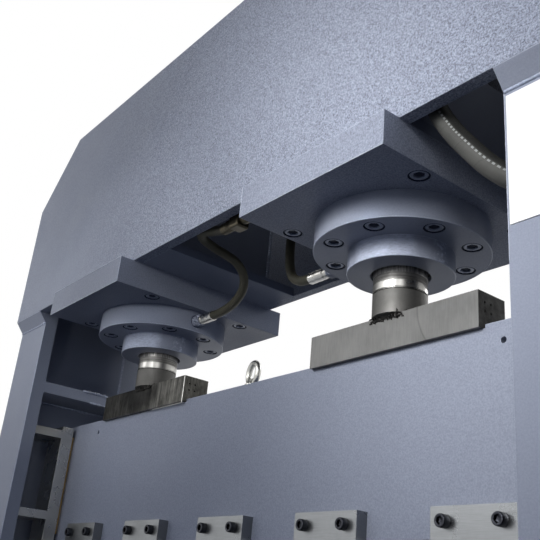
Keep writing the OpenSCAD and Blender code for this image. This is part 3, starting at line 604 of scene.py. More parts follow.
# %% Bare steel
def steel(name, colour, rough, grain, fine, stain, scratch=0.25, stain_scale=9.0, blotch=0.22,
          bands=None):
    """Bare metal: marks drawn out by grain, clouded by stains, darker where it is stained.

    bands is a function of the tree that returns a factor for the colour and a share of dullness.
    """
    material, tree, shader = finish(name, colour, rough, 1.0)
    soft, edge = edges(tree, 0.5 * MM)
    marks = spots(tree, fine, 3.0, grain)
    dirty = ramp(tree, spots(tree, stain_scale, 5.0, rough=0.65), (0.38, 0.0), (0.72, 1.0))
    tone = blend(tree, marks, shade(colour, 1 - blotch), shade(colour, 1 + blotch))
    tone = blend(tree, times(tree, dirty, stain), tone, shade(colour, 0.35))
    tone = blend(tree, ramp(tree, edge, (0.02, 0.0), (0.25, 0.35)), tone, shade(colour, 1.7))
    gloss = blend(tree, dirty, (rough - 0.05,) * 3, (rough + 0.18,) * 3)
    if bands:
        factor, dull = bands(tree)
        tone = tinted(tree, tone, factor)
        gloss = blend(tree, dull, gloss, (0.50,) * 3)
    normal = relief(tree, marks, 0.25 * MM, soft, scratch)
    wire(tree, shader, Base_Color=tone, Roughness=gloss, Normal=normal)
    return material


# %% [markdown]
# Some steel parts change along their length: a rod has a turned groove under its chrome, a nose has a
# dark line where it meets its rod, and the bars were milled, sawn and scorched. Each function below
# gives a factor for the colour and a share of dullness, so that `steel` stays the same for all.
# A bar's end face has its own tone: painted shade on the right bar, painted light on the left one.

# %% Marks on the rods, noses and bars
GROOVE_TOP, GROOVE_LOW = -92 * MM, -105.3 * MM      # a rod's turned groove, under the blocks
NOSE_TOP = 130 * MM                                 # depth of the noses' upper edges
MILL_AT = AXIS_X + 164 * MM                         # a milling cutter left an arc on the right bar
MILL_R = 99.2 * MM
BAR_HALF = (BAR_TOP[0] - BAR[0]) / 2
SCORCH = (-AXIS_X - 12 * MM, -30 * MM, BAR_TOP[2] - 8 * MM)    # middle of the soot on the left bar


def rod_bands(tree):
    """Three bands by height: ticked chrome above, a dull turned groove, a polished end below."""
    high = maths(tree, "SUBTRACT", height_of(tree), BLOCK_Z)
    groove = times(tree, maths(tree, "LESS_THAN", high, GROOVE_TOP),
                   maths(tree, "GREATER_THAN", high, GROOVE_LOW))
    above = maths(tree, "GREATER_THAN", high, GROOVE_TOP)
    ticks = ramp(tree, spots(tree, 1.0, 3.0, (420, 420, 30)), (0.40, 0.55), (0.60, 1.15))
    streaks = ramp(tree, spots(tree, 1.0, 4.0, (14, 14, 900)), (0.35, 0.22), (0.65, 0.75))
    factor = blend(tree, groove, blend(tree, above, (1.0, 1.0, 1.0), ticks), streaks)
    return factor, maths(tree, "ADD", times(tree, groove, 0.8), times(tree, above, 0.3))


def nose_line(tree):
    """Black line where a nose's upper edge meets its rod, and no dullness."""
    high = maths(tree, "SUBTRACT", height_of(tree), BLOCK_Z)
    over_it = times(tree, maths(tree, "ADD", high, NOSE_TOP), 50)
    return ramp(tree, over_it, (0.44, 1.0), (0.48, 0.12)), 0.0


def milled(tree, x, z):
    """The arc that a milling cutter's rim left: a thin dark line at one distance from a point."""
    out = add(tree, "CombineXYZ", {0: maths(tree, "SUBTRACT", x, MILL_AT),
                                   2: maths(tree, "SUBTRACT", z, BAR_TOP[2])})
    far = add(tree, "VectorMath", {0: out.outputs[0]}, operation="LENGTH").outputs["Value"]
    return ramp(tree, times(tree, far, 0.496 / MILL_R), (0.485, 1.06), (0.496, 0.70), (0.507, 0.97))


def scorched(tree, x, z):
    """Soot: black round the nose's weld, drawn down in streaks, and paler towards the bar's right."""
    from_nose = add(tree, "VectorMath", {0: place(tree, (1, 1, 1.6), SCORCH)}, operation="LENGTH")
    torn = times(tree, spots(tree, 1.0, 5.0, (70, 70, 14), rough=0.7), 0.10)
    ragged = maths(tree, "ADD", from_nose.outputs["Value"], torn)
    burn = ramp(tree, ragged, (0.104, 0.14), (0.160, 1.0))
    streaks = ramp(tree, spots(tree, 1.0, 4.0, (150, 150, 11), rough=0.65), (0.36, 0.45),
                   (0.66, 2.1))
    to_right = maths(tree, "ADD", times(tree, x, 2.2), 1.2)
    right = ramp(tree, to_right, (0.25, 1.5), (0.52, 2.2))
    return tinted(tree, tinted(tree, burn, streaks), right)


def sawn_shaded_ends(low, high, side=milled):
    """Bands: sawn ends from a low to a high tone, as painted end shading; `side` marks the rest."""
    def bands(tree):
        at = add(tree, "SeparateXYZ", {0: place(tree)})
        x, z = at.outputs[0], at.outputs[2]
        far = maths(tree, "ABSOLUTE", maths(tree, "SUBTRACT", maths(tree, "ABSOLUTE", x), AXIS_X))
        # Painted end shading: darker on the right bar, lighter on the left, over saw marks.
        end = maths(tree, "GREATER_THAN", far, BAR_HALF - 0.3 * MM)
        tone = ramp(tree, spots(tree, 60, 4.0, rough=0.7), (0.35, low), (0.70, high))
        return blend(tree, end, side(tree, x, z), tone), times(tree, end, 0.7)
    return bands


# %% [markdown]
# The same few layers give cold-drawn bar, ground plate, zinc, chrome and bronze. What changes is the
# colour, the dullness, the way the marks run and how dirty the part is.

# %% Steels of this machine
BRIGHT_BAR = steel("brushed_bar", (0.120, 0.120, 0.119), 0.42, (1, 1, 0.05), 900, 0.15,
                   bands=sawn_shaded_ends(0.06, 0.48))
DIRTY_BAR = steel("stained_bar", (0.030, 0.0295, 0.027), 0.38, (1, 1, 0.25), 300, 0.70,
                  stain_scale=30, blotch=0.85, scratch=0.5, bands=sawn_shaded_ends(1.6, 4.2, scorched))
GROUND = steel("ground_steel", (0.50, 0.50, 0.48), 0.30, (0.04, 1, 1), 1100, 0.15)
TOOL = steel("tool_steel", (0.24, 0.25, 0.26), 0.30, (0.03, 1, 1), 1300, 0.25)
NOSE = steel("turned_nose", (0.128, 0.126, 0.121), 0.56, (1, 1, 4), 600, 0.4, bands=nose_line)
DARK = steel("black_steel", (0.110, 0.107, 0.102), 0.34, (1, 1, 0.3), 600, 0.4)
BLACK_OXIDE = steel("black_oxide", (0.035, 0.037, 0.045), 0.36, (1, 1, 1), 900, 0.3)
ZINC = steel("zinc_plate", (0.50, 0.50, 0.47), 0.28, (1, 1, 1), 400, 0.22, scratch=0.12)
CRIMPED = {axis: steel("crimped_zinc_" + axis, (0.46, 0.455, 0.43), 0.24, stretch, 520, 0.35,
                       blotch=0.60, scratch=0.5)
           for axis, stretch in (("x", (0.04, 1, 1)), ("z", (1, 1, 0.04)))}
CHROME = steel("hard_chrome", (0.36, 0.355, 0.34), 0.27, (1, 1, 9), 300, 0.06, scratch=0.05,
               bands=rod_bands)
SCALE_BLACK = steel("burnt_scale", (0.030, 0.029, 0.028), 0.40, (1, 1, 1), 500, 0.5, scratch=0.6)
BRONZE = steel("bearing_bronze", (0.50, 0.34, 0.15), 0.38, (1, 1, 0.1), 700, 0.25)
YELLOW_ZINC = steel("yellow_zinc", (0.075, 0.066, 0.047), 0.38, (1, 1, 1), 300, 0.45)
ALUMINIUM = steel("anodised_aluminium", (0.55, 0.56, 0.57), 0.34, (0.05, 1, 1), 1000, 0.08)
print("steels:", len(bpy.data.materials), "materials so far")

# %% [markdown]
# ### Rubber, plastic and powder coat
# Hose covers are cured in a wrapping of cloth tape, which leaves a fine weave and the edges of the
# tape as a faint spiral. That pattern has to follow the hose round its bends, so it reads the hose's
# own UV map: U is the length in metres and V goes once round. Plastic and powder coat only need a
# fine grain.

# %% Hose covers
TAPE, WEAVE = 45 * MM, 0.9 * MM                     # from lap to lap, and from thread to thread
DASH_STEP, DASH_SHARE = 8 * MM, 0.55                # the printed line's dashes
LINE_AT, LINE_HALF = 0.410, 0.015                   # its place and half width, in turns


def hose_cover(name, colour, stripe_and_painted_light=False):
    """Cloth-marked rubber: two crossing waves for the weave, a slow one for the tape, dust on top.

    With a stripe: painted light on one side, a painted highlight line, and a dashed line.
    """
    material, tree, shader = finish(name, colour, 0.62, Specular_IOR_Level=0.25)
    along_it = add(tree, "UVMap").outputs["UV"]
    part = add(tree, "SeparateXYZ", {0: along_it})
    length, round_it = part.outputs[0], part.outputs[1]
    threads = maths(tree, "SINE", times(tree, length, 2 * math.pi / WEAVE))
    across = maths(tree, "SINE", times(tree, round_it, 2 * math.pi * 64))
    spiral = maths(tree, "ADD", maths(tree, "DIVIDE", length, TAPE), round_it)
    lap = ramp(tree, maths(tree, "FRACT", spiral), (0.0, 0.0), (0.04, 1.0), (0.96, 1.0), (1.0, 0.0))
    dust = ramp(tree, spots(tree, 22, 5.0, rough=0.65), (0.42, 0.0), (0.75, 1.0))
    tone = blend(tree, times(tree, dust, 0.45), colour, shade(colour, 1.9))
    between = times(tree, maths(tree, "SUBTRACT", 1.0, lap), 0.3)
    tone = blend(tree, between, tone, shade(colour, 0.5))
    if stripe_and_painted_light:
        # Painted light: a lighter lit half, and a painted highlight line near V = 0.2.
        painted_lit_side = ramp(tree, round_it, (0.13, 0.15), (0.17, 0.45), (0.21, 0.45), (0.24, 0.15),
                      (0.37, 0.15), (0.42, 1.0), (0.75, 1.0), (0.85, 0.15))
        tone = tinted(tree, tone, painted_lit_side)
        step = maths(tree, "FRACT", maths(tree, "DIVIDE", length, DASH_STEP))
        dash = maths(tree, "LESS_THAN", step, DASH_SHARE)
        line = maths(tree, "COMPARE", round_it, LINE_AT)
        line.node.inputs[2].default_value = LINE_HALF
        printed = times(tree, times(tree, dash, line), 0.8)
        tone = blend(tree, printed, tone, (0.30, 0.31, 0.30))
    normal = relief(tree, times(tree, threads, across), 0.10 * MM, strength=0.5)
    normal = relief(tree, lap, 0.25 * MM, normal, 0.6)
    wire(tree, shader, Base_Color=tone, Normal=normal,
         Roughness=ramp(tree, dust, (0.0, 0.50), (1.0, 0.75)))
    return material


# %% [markdown]
# Buttons, seals, the cabinet and the motor are moulded, cast or powder coated. One function serves
# them all, because only colour, gloss and grain tell them apart from a step away.

# %% Plastics, rubber and powder coat
def moulded(name, colour, rough, grain=900, depth=0.10, coat=0.0):
    """Plastic, rubber or powder coat: one colour with a slight cloud and a fine grain."""
    material, tree, shader = finish(name, colour, rough, Coat_Weight=coat, Coat_Roughness=0.15)
    soft, edge = edges(tree, 0.8 * MM)
    tone = blend(tree, spots(tree, 18, 4.0), shade(colour, 0.9), shade(colour, 1.1))
    gloss = ramp(tree, spots(tree, 45, 3.0), (0.3, rough - 0.04), (0.8, rough + 0.08))
    normal = relief(tree, spots(tree, grain, 2.0), depth * MM, soft, 0.5)
    wire(tree, shader, Base_Color=tone, Roughness=gloss, Normal=normal)
    return material


# %% [markdown]
# The long hose is a stiffer make with a printed line, and painted light on one side of its cover;
# the two short ones are plain.

# %% Rubbers and plastics of this machine
HOSE = hose_cover("hose_cover", (0.040, 0.038, 0.026))
STRIPED_LIT_HOSE = hose_cover("striped_hose_cover_painted_light", (0.058, 0.058, 0.053), stripe_and_painted_light=True)
SEAL = moulded("seal_rubber", (0.02, 0.02, 0.02), 0.55)
VALVE = moulded("valve_black", (0.030, 0.031, 0.034), 0.42, 500, 0.15)
CASTING = moulded("motor_casting", (0.060, 0.075, 0.105), 0.45, 350, 0.5)
CABINET = moulded("powder_coat", (0.50, 0.51, 0.50), 0.48, 500, 0.30)
LABEL = moulded("blank_label", (0.86, 0.86, 0.85), 0.35, 300, 0.02, coat=0.3)
RED = moulded("red_plastic", (0.55, 0.012, 0.010), 0.30, coat=0.4)
GREEN = moulded("green_plastic", (0.015, 0.20, 0.055), 0.30, coat=0.4)
BLACK = moulded("black_plastic", (0.018, 0.018, 0.018), 0.48)
YELLOW = moulded("yellow_plastic", (0.75, 0.50, 0.02), 0.38)
AMBER = moulded("oil_glass", (0.42, 0.24, 0.03), 0.12, 80, 0.02, coat=0.6)
print("materials:", len(bpy.data.materials))

# %% [markdown]
# ## Finishes onto the solids
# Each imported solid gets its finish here. Most take the one that belongs to their slot in the record;
# the ram, the front plate, the glands and the two bars have one of their own.

# %% Which solid gets which finish
BY_SLOT = {"paint": FRAME_PAINT, "bare_bar_steel": BRIGHT_BAR, "ground_steel": GROUND,
           "tool_steel": TOOL, "dark_steel": DARK, "black_screws": CAP_PAINT, "rod_chrome": CHROME,
           "zinc_plate": ZINC, "yellow_fitting": YELLOW_ZINC, "bronze": BRONZE,
           "hose_rubber": HOSE, "seal_rubber": SEAL, "valve_black": VALVE, "motor_grey": CASTING,
           "cabinet_grey": CABINET, "label_white": LABEL, "red_plastic": RED,
           "green_plastic": GREEN, "black_plastic": BLACK, "gauge_aluminium": ALUMINIUM}
SPECIAL = {"ram_plate": RAM_PAINT, "front_plate": PANEL_PAINT, "rear_plate": PANEL_PAINT,
           "cylinder_block_left": SHADED_BLOCK_PAINT, "cylinder_block_right": BLOCK_PAINT,
           "saddle_bar_left": DIRTY_BAR, "rod_noses": NOSE, "gland_left": TURNED_PAINT[-1],
           "gland_right": TURNED_PAINT[1], "clamp_screws": BLACK_OXIDE, "die_screws": BLACK_OXIDE,
           "levelling_screws": ZINC}
for part in frame["record"]["subparts"]:
    solid = frame["nodes"][part["node"]]
    solid.data.materials.clear()
    solid.data.materials.append(SPECIAL.get(part["node"], BY_SLOT[part["material_slot"]]))
print("finished solids:", len(frame["nodes"]))

# %% [markdown]
# ## The hoses
# A hydraulic hose is steel wire between layers of rubber, so it bends in wide, even curves. Each one
# is a circle carried along its route. The piece also needs a UV map that runs along the hose, for the
# cloth marks of its cover.


# %% Hoses with a map that follows them
def hose(name, route, diameter, cover, node):
    """Swept tube with a UV map: U is the length so far in metres, V the share of a turn."""
    path, sides = through(route, 14), 28
    points, faces = swept(path, diameter / 2, sides)
    mesh = bpy.data.meshes.new(name)
    mesh.from_pydata(points.tolist(), [], faces)
    far = np.r_[0, np.cumsum(np.linalg.norm(np.diff(path, axis=0), axis=1))]
    i, j = np.meshgrid(np.arange(len(path) - 1), np.arange(sides), indexing="ij")
    u = np.stack([far[i], far[i + 1], far[i + 1], far[i]], -1)
    v = np.stack([j, j, j + 1, j + 1], -1) / sides
    loops = np.zeros((len(mesh.loops), 2))
    loops[:u.size] = np.stack([u, v], -1).reshape(-1, 2)
    mesh.uv_layers.new(name="along").data.foreach_set("uv", loops.ravel())
    mesh.shade_smooth()
    mesh.materials.append(cover)
    made = bpy.data.objects.new(name, mesh)
    bpy.context.scene.collection.objects.link(made)
    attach(made, "frame")
    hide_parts(node)
    print(name, "%.0f mm long" % (far[-1] * 1000))
    return made


hose("left_hose", LEFT_ROUTE, 0.019, HOSE, "rod_hose_left")
hose("right_hose", RIGHT_ROUTE, 0.019, HOSE, "rod_hose_right")
hose("long_hose", SUPPLY_ROUTE, 0.0314, STRIPED_LIT_HOSE, "supply_hose")

# %% [markdown]
# A crimped hose end is a steel sleeve squeezed onto the hose by eight jaws. The jaws leave eight
# flats between rounded ridges, and the sleeve keeps its round rim at both ends. The section below is
# round where the squeeze is 0 and eight-sided where it is 1.


# %% Crimped ferrules
def eight_flats(a):
    """Radius of an eight-sided section with rounded corners, as a share of its round size."""
    flat = math.cos(math.pi / 8) / np.cos((a + math.pi / 8) % (math.pi / 4) - math.pi / 8)
    return 0.90 + 0.10 * np.minimum(flat / flat.max(), 0.985)


def ferrule(radius, length):
    """Sleeve from z = 0 on the hose's side: rolled rim, crimped body with two grooves, plain neck."""
    r, h = radius, length
    profile = [(0, 0.0), (r * 0.84, 0.0), (r * 0.97, 0.6 * MM), (r, 2 * MM), (r, 4 * MM, 0.2)]
    body = np.linspace(5 * MM, h * 0.70, 9)
    profile += [(r * (0.965 if k % 4 == 3 else 1.0), z, 1.0) for k, z in enumerate(body)]
    profile += [(r * 0.98, h * 0.76, 0.2), (r * 0.80, h * 0.80), (r * 0.80, h * 0.86),
                (r * 0.92, h * 0.88), (r * 0.92, h * 0.985), (r * 0.86, h), (0, h)]
    return turned(profile, 48, eight_flats)


small, large = 11.5 * MM, 19 * MM                   # radii of the ferrules
lying = join(along(ferrule(small, 46 * MM), "-x", from_block(LEFT_ROUTE[0])),
             along(ferrule(small, 52 * MM), "x", from_block(RIGHT_ROUTE[0])))
upright = join(along(ferrule(small, 46 * MM), "z", from_block(RIGHT_ROUTE[-1])),
               along(ferrule(large, 60 * MM), "z", from_block(SUPPLY_ROUTE[0])),
               along(ferrule(large, 60 * MM), "-z", from_block(SUPPLY_ROUTE[-1])))
at_tee = along(ferrule(small, 34 * MM), "x", from_block(LEFT_ROUTE[-1]))
ferrules = piece("lying_ferrules", lying, CRIMPED["x"], sharp=25)
piece("upright_ferrules", upright, CRIMPED["z"], sharp=25)
piece("tee_ferrule", at_tee, YELLOW_ZINC, sharp=25)
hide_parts("hose_ferrules")
print("ferrules:", len(ferrules.data.polygons), "faces")

# %% [markdown]
# Between a ferrule and its port sit a loose nut and a fitting, made from six-sided bar. Their corners
# are turned off at thirty degrees, which is why every face of a real nut ends in a curved line. The
# ring scale below takes the section from a circle to a hexagon.


# %% Hexagons and nuts
def six_flats(a):
    """Radius of a six-sided section as a share of its corners': cos 30 over cos of the angle from
    the middle of the nearest flat."""
    return math.cos(math.pi / 6) / np.cos((a + math.pi / 6) % (math.pi / 3) - math.pi / 6)


def nut(flats, height, bore=0.0):
    """Hexagon with turned-off corners; with a bore it is a ring."""
    r, h = flats / math.sqrt(3), height
    face, rise = 0.492 * flats, 0.045 * flats       # radius of the round end face, rise of its slope
    outer = [(face, 0.0), (r, rise, 1.0), (r, h - rise, 1.0), (face, h)]
    inner = [(bore, h), (bore, 0.0)] if bore else []
    profile = inner[-1:] + outer + inner[:1] if bore else [(0, 0.0)] + outer + [(0, h)]
    shape = turned(profile, 48, six_flats)
    if not bore:
        return shape
    points = shape[0]
    ids = np.arange(len(points)).reshape(len(profile), 48)
    closing = np.stack([ids[-1], np.roll(ids[-1], -1), np.roll(ids[0], -1), ids[0]], -1)
    return points, shape[1][:-2] + closing.tolist()


def union_nut(flats, length):
    """Fitting between a ferrule and its port: nut, groove, and the hexagon of the screwed-in body."""
    return join(along(nut(flats, 0.46 * length)),
                along(turned([(0, 0), (flats * 0.40, 0), (flats * 0.40, 0.14 * length),
                              (0, 0.14 * length)], 32), at=(0, 0, 0.45 * length)),
                along(nut(flats, 0.43 * length), at=(0, 0, 0.57 * length), turn=17))

# %% [markdown]
# The fittings between the hoses and the cylinders were painted together with the machine. Each is a
# row of hexagons on one axis, and the long hose also has a forged elbow.

# %% Fittings in place
port = AXIS_X - FLANGE_R + 2 * MM                   # where a fitting goes into its flange
left_end, right_end = -216 * MM, 206 * MM           # outer ends of the two ferrules
painted = join(
    along(union_nut(24 * MM, left_end + port), "-x", (left_end, 0, PORT_Z), 12),
    along(union_nut(24 * MM, port - right_end), "x", (right_end, 0, PORT_Z), 25),
    along(nut(24 * MM, 18 * MM), "z", from_block((85, 0, 222))),
    along(nut(32 * MM, 18 * MM), "x", from_block((505, -60, 485))),
    along(nut(32 * MM, 18 * MM), "z", from_block((540, -60, 450))),
    along(nut(36 * MM, 30 * MM), "z", from_block((1000, -120, -920))),
)
print("left fitting is %.0f mm long" % ((left_end + port) * 1000))
elbow = from_block((523, -77, 468))
fittings = piece("hose_fittings", painted, FRAME_PAINT)
piece("elbow_block", slab(elbow, elbow + 34 * MM), FRAME_PAINT, bevel=4 * MM)
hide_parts("port_adapters")

# %% [markdown]
# The tee is a small forging: a rounded body with a hexagon where the steel pipe screws in. It is
# built from a slab with a wide bevel, which gives the soft corners of a forged part.

# %% Tee
TEE = from_block((107, -146, 57))
tee_body = slab(TEE - 15 * MM, TEE + 15 * MM)
tee_block = piece("tee_body", tee_body, YELLOW_ZINC, bevel=5 * MM)
tee_nuts = join(along(nut(24 * MM, 20 * MM), "z", TEE + [0, 0, 14 * MM]),
                along(nut(22 * MM, 16 * MM), "-x", TEE - [14 * MM, 0, 0]),
                along(turned(mm((0, 0), (10, 0), (10, 22), (8, 24), (8, 26), (0, 26)), 32), "x",
                      TEE + [14 * MM, 0, 0]))
piece("tee_ends", tee_nuts, YELLOW_ZINC)
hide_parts("tee_fitting")
print("tee at a height of %.3f m" % TEE[2])

# %% [markdown]
# ## Socket-head screws
# Twenty-four M20 screws hold the cylinders. Seen from below each is a dark ring, the gap round the
# head, then the head's bright rounded rim, then the six-sided socket. The dark ring and the
# socket's floor are painted shade. A socket is the same turned shape with its inner rings drawn in
# to a hexagon, so one function makes every screw.


# %% Screws with a socket
def cap_screw(thread, head, height, flats, grip, knurl=0):
    """Screw of sizes in millimetres: its head's face is at z = 0 and its thread points along +Z."""
    thread, head, height, flats, grip = (v * MM for v in (thread, head, height, flats, grip))
    r, s = head / 2, flats / math.sqrt(3)
    tip = height + grip
    profile = [(0, tip), (thread * 0.42, tip), (thread / 2, tip - 1.2 * MM), (thread / 2, height),
               (r * 0.96, height), (r, height * 0.93), (r, height * 0.20), (r * 0.985, height * 0.09),
               (r * 0.94, height * 0.02), (r * 0.89, 0.0), (s * 1.10, 0.0), (s * 1.02, 0.4 * MM, 1.0),
               (s, 1.2 * MM, 1.0), (s, height * 0.5, 1.0), (s * 0.55, height * 0.58),
               (0, height * 0.60)]
    points, faces = turned(profile, 96 if knurl else 48, six_flats)
    if knurl:
        a = np.arctan2(points[:, 1], points[:, 0])
        far = np.hypot(points[:, 0], points[:, 1])
        side = (far > r * 0.99) & (points[:, 2] < height * 0.94)
        points[side, :2] *= (1 + 0.018 * np.cos(a[side, None] * knurl))
    return points, faces


# %% [markdown]
# Four screws at the corners hold each cylinder to its block and eight more, on a circle, hold its
# gland. Each is turned a little further than the last, because no fitter lines up the sockets.

# %% Cylinder screws
CORNER_X, CORNER_Y = 145 * MM, 120 * MM             # corner screws from a cylinder's axis
GLAND_CIRCLE = 120 * MM
around = (np.arange(8) + 0.5) * math.pi / 4
corner_places = [(s * AXIS_X + x * CORNER_X, y * CORNER_Y, BLOCK_Z + MM)
                 for s in (-1, 1) for x in (-1, 1) for y in (-1, 1)]
circle = np.column_stack([np.cos(around), np.sin(around), np.zeros(8)]) * GLAND_CIRCLE
gland_places = np.vstack([circle + [s * AXIS_X, 0, FLANGE_Z + MM] for s in (-1, 1)])
m20 = cap_screw(20, 30, 20, 17, 58)
places = np.vstack([corner_places, gland_places])
screws = join(*[along(m20, at=place, turn=17.0 * k) for k, place in enumerate(places)])
cylinder_screws = piece("cylinder_cap_screws", screws, CAP_PAINT, sharp=40)
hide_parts("cylinder_screws")
print("cylinder screws:", len(places))
# Painted shade: a near-black lining in each head's gap and a near-black disc in each socket.
gap = ring([(14.7, -0.5), (17.0, -0.5), (17.0, -1.1), (17.2, -1.1), (17.2, 2), (14.7, 2)])
socket_floor = turned(mm((0, 2.6), (8.3, 2.6), (8.3, 3.2), (0, 3.2)), 32)
piece("screw_gap_shade", scatter(join(gap, socket_floor), places), SHADE_PAINT)

# %% [markdown]
# ## Welds
# A weld bead is a row of overlapping drops, so its surface is a tube whose radius swells and shrinks
# along its way, half sunk into the corner that it fills. Its length decides how many ripples it has.
# Flame-cut edges and spatter need more disorder, so `rough` mixes in noise round the tube as well.


# %% Weld beads
CHANCE = np.random.default_rng(11)
SIDEWAYS = (0.31, 0.52, 0.79)                       # not along any weld or edge, to start a section


def bead(points, size, ripple=4.5 * MM, rough=0.10, sides=10):
    """Tube along a line of corners: radius = size (1 + 0.13 |sin(pi s / ripple)| + rough x noise)."""
    corners = np.array(points, float)
    ends = np.r_[0, np.cumsum(np.linalg.norm(np.diff(corners, axis=0), axis=1))]
    s = np.linspace(0, ends[-1], max(4, int(ends[-1] / ripple * 4)))
    path = np.column_stack([np.interp(s, ends, corners[:, k]) for k in range(3)])
    noise = CHANCE.normal(size=(len(s), 1)) + 0.6 * CHANCE.normal(size=(len(s), sides))
    fade = np.minimum(1, np.minimum(s, ends[-1] - s) / (1.2 * size) + 0.25)
    drops = np.abs(np.sin(np.pi * s / ripple))
    radius = size * fade[:, None] * (1 + 0.13 * drops[:, None] + rough * noise)
    return swept(path, radius, sides, SIDEWAYS)


def arc(centre, radius, first, last, steps=40):
    """Points on a level circle between two directions in degrees."""
    a = np.radians(np.linspace(first, last, steps))
    return np.column_stack([np.cos(a) * radius, np.sin(a) * radius, 0 * a]) + centre


# %% [markdown]
# The beads follow the corners of the welded frame: the beam's sides, the shelves, the webs and the
# feet. The right side is made and the left is its mirror image. Their enamel is paler than the
# frame's, as a painted glint, and a few beads on the left shelf are paler still, as painted
# highlights.

# %% Beads on the frame
COLUMN = corner("column_right", 0)
SHELF_Z = BLOCK_Z - 147 * MM
TABLE = corner("table_top", 0)
TABLE_TOP = corner("table_top", 1)
LIP_X, FRAME_Y = COLUMN[0], -FRONT_Y
WEB_IN, IN_Y = WEB_X - 32 * MM, FRAME_Y - 32 * MM   # inner faces of the columns' plates
BEAM_Z = BLOCK_TOP[2]
SHELF_TOP = SHELF_Z + 27 * MM
FOOT_Z = 30 * MM                                    # top of the base plates
ROOF_Z = SKIN_TOP[2] - 30 * MM
THROAT_Z, LEG_Z = 1.1, 0.32                         # lower ends of two upright welds


def straight(first, last, size=4, ripple=4.5):
    """Weld between two corners; its size and ripple are in millimetres."""
    return bead([first, last], size * MM, ripple * MM)


right_welds = []
for y in (-1, 1):
    out_y, in_y, skin_y = y * FRAME_Y, y * IN_Y, -y * SKIN[1]
    right_welds += [
        straight((213 * MM, out_y, BEAM_Z + 20 * MM), (213 * MM, out_y, ROOF_Z), 5),
        straight((233 * MM, out_y, BEAM_Z + 30 * MM), (233 * MM, out_y, ROOF_Z), 5),
        straight((BLOCK[0], skin_y, BEAM_Z), (BLOCK_TOP[0], skin_y, BEAM_Z), 6),
        straight((WEB_IN, in_y, SHELF_Z), (LIP_X, in_y, SHELF_Z)),
        straight((WEB_IN, in_y, SHELF_TOP), (LIP_X, in_y, SHELF_TOP)),
        straight((WEB_IN, in_y, THROAT_Z), (WEB_IN, in_y, SKIN_TOP[2] - 0.22), 4, 6),
        straight((LIP_X, out_y, BEAM_Z - 28 * MM), (WEB_X, out_y, BEAM_Z - 28 * MM), 2.5),
        straight((LIP_X, out_y, FOOT_Z), (WEB_X, out_y, FOOT_Z), 6, 6),
        straight((TABLE_TOP[0], out_y, TABLE_TOP[2]), (TABLE_TOP[0], in_y, TABLE_TOP[2])),
        straight((LIP_X, out_y, LEG_Z), (LIP_X, out_y, TABLE[2]), 4, 6)]
right_welds += [straight((WEB_IN, -IN_Y, SHELF_Z), (WEB_IN, IN_Y, SHELF_Z)),
                straight((WEB_IN, -IN_Y, SHELF_TOP), (WEB_IN, IN_Y, SHELF_TOP)),
                straight((WEB_X, -FRAME_Y, FOOT_Z), (WEB_X, FRAME_Y, FOOT_Z), 6, 6)]
# Painted highlights: a few beads on the left shelf and one on the left lip, in the pale enamel.
bright = [bead([(LIP_X, first * MM, z), (LIP_X, last * MM, z)], size * MM, 5 * MM, 0.35, 8)
          for first, last, z, size in ((-30, 45, SHELF_TOP, 2.6), (-5, 42, SHELF_Z, 2.4))]
lip_low = BEAM_Z - 27 * MM
bright.append(straight((LIP_X, -FRAME_Y, lip_low), (LIP_X + 12 * MM, -FRAME_Y, lip_low)))
piece("left_shelf_weld_highlights", mirrored(join(*bright)), HIGHLIGHT_PAINT)
welds = join(*right_welds)
# The beads' paler enamel is a painted glint.
piece("weld_beads_right", welds, WELD_GLINT_PAINT)
piece("weld_beads_left", mirrored(welds), WELD_GLINT_PAINT)
print("weld beads:", 2 * len(right_welds))

# %% [markdown]
# The rims of the glands, the front edges of the columns and blocks, and the right end of the left
# bar carry a thin pale line: a painted highlight, made as a fine round cord sunk into the edge.

# %% Painted highlights along edges
LINE = 1.1 * MM                                     # radius of the cord
SUNK = 0.4 * MM                                     # depth of its middle in the edge
LIP_LOW = 0.84                                      # lower end of the left column's line
BOSS_R = 89 * MM
# Painted highlights round the lower rims of the glands' flanges and bosses.
rims = [along(torus(radius - 0.6 * LINE, LINE, 96, 8), at=(side * AXIS_X, 0, z + 0.6 * LINE))
        for side in (-1, 1) for radius, z in ((FLANGE_R, FLANGE_Z), (BOSS_R, GLAND[2]))]
piece("rim_highlights", join(*rims), RIM_HIGHLIGHT_PAINT)


def edge_line(first, last, share=1.0):
    """Fine cord of painted highlight along a straight edge, of a share of the usual radius."""
    return swept(np.linspace(first, last, 3), share * LINE, 8, SIDEWAYS)


# Painted highlight lines along the columns' front lips and the blocks' lower front edges.
lip_x, lip_y = LIP_X + SUNK, -FRAME_Y + SUNK
short_lip, long_lip = (edge_line((lip_x, lip_y, low), (lip_x, lip_y, BEAM_Z - 30 * MM), share)
                       for low, share in ((RAM_TOP[2] + 6 * MM, 0.6), (LIP_LOW, 1.0)))
near = BLOCK + SUNK
block_low = join(edge_line(near, (BLOCK_TOP[0] - SUNK, near[1], near[2]), 0.7),
                 edge_line(near, (near[0], near[1], BEAM_Z), 0.7))
piece("edge_highlights_right", join(short_lip, block_low), HIGHLIGHT_PAINT)
piece("edge_highlights_left", mirrored(join(long_lip, block_low)), HIGHLIGHT_PAINT)
# Painted highlight along the left block's top front edge.
seam_y, seam_x = BLOCK[1] + 0.3 * MM, -BLOCK_TOP[0]
seam = join(edge_line((seam_x - MM, seam_y, BEAM_Z), (-BLOCK[0] + MM, seam_y, BEAM_Z), 0.8),
            edge_line((seam_x, seam_y, BEAM_Z), (seam_x, seam_y, BEAM_Z - 12 * MM), 0.8))
piece("left_block_seam_highlight", seam, HIGHLIGHT_PAINT)
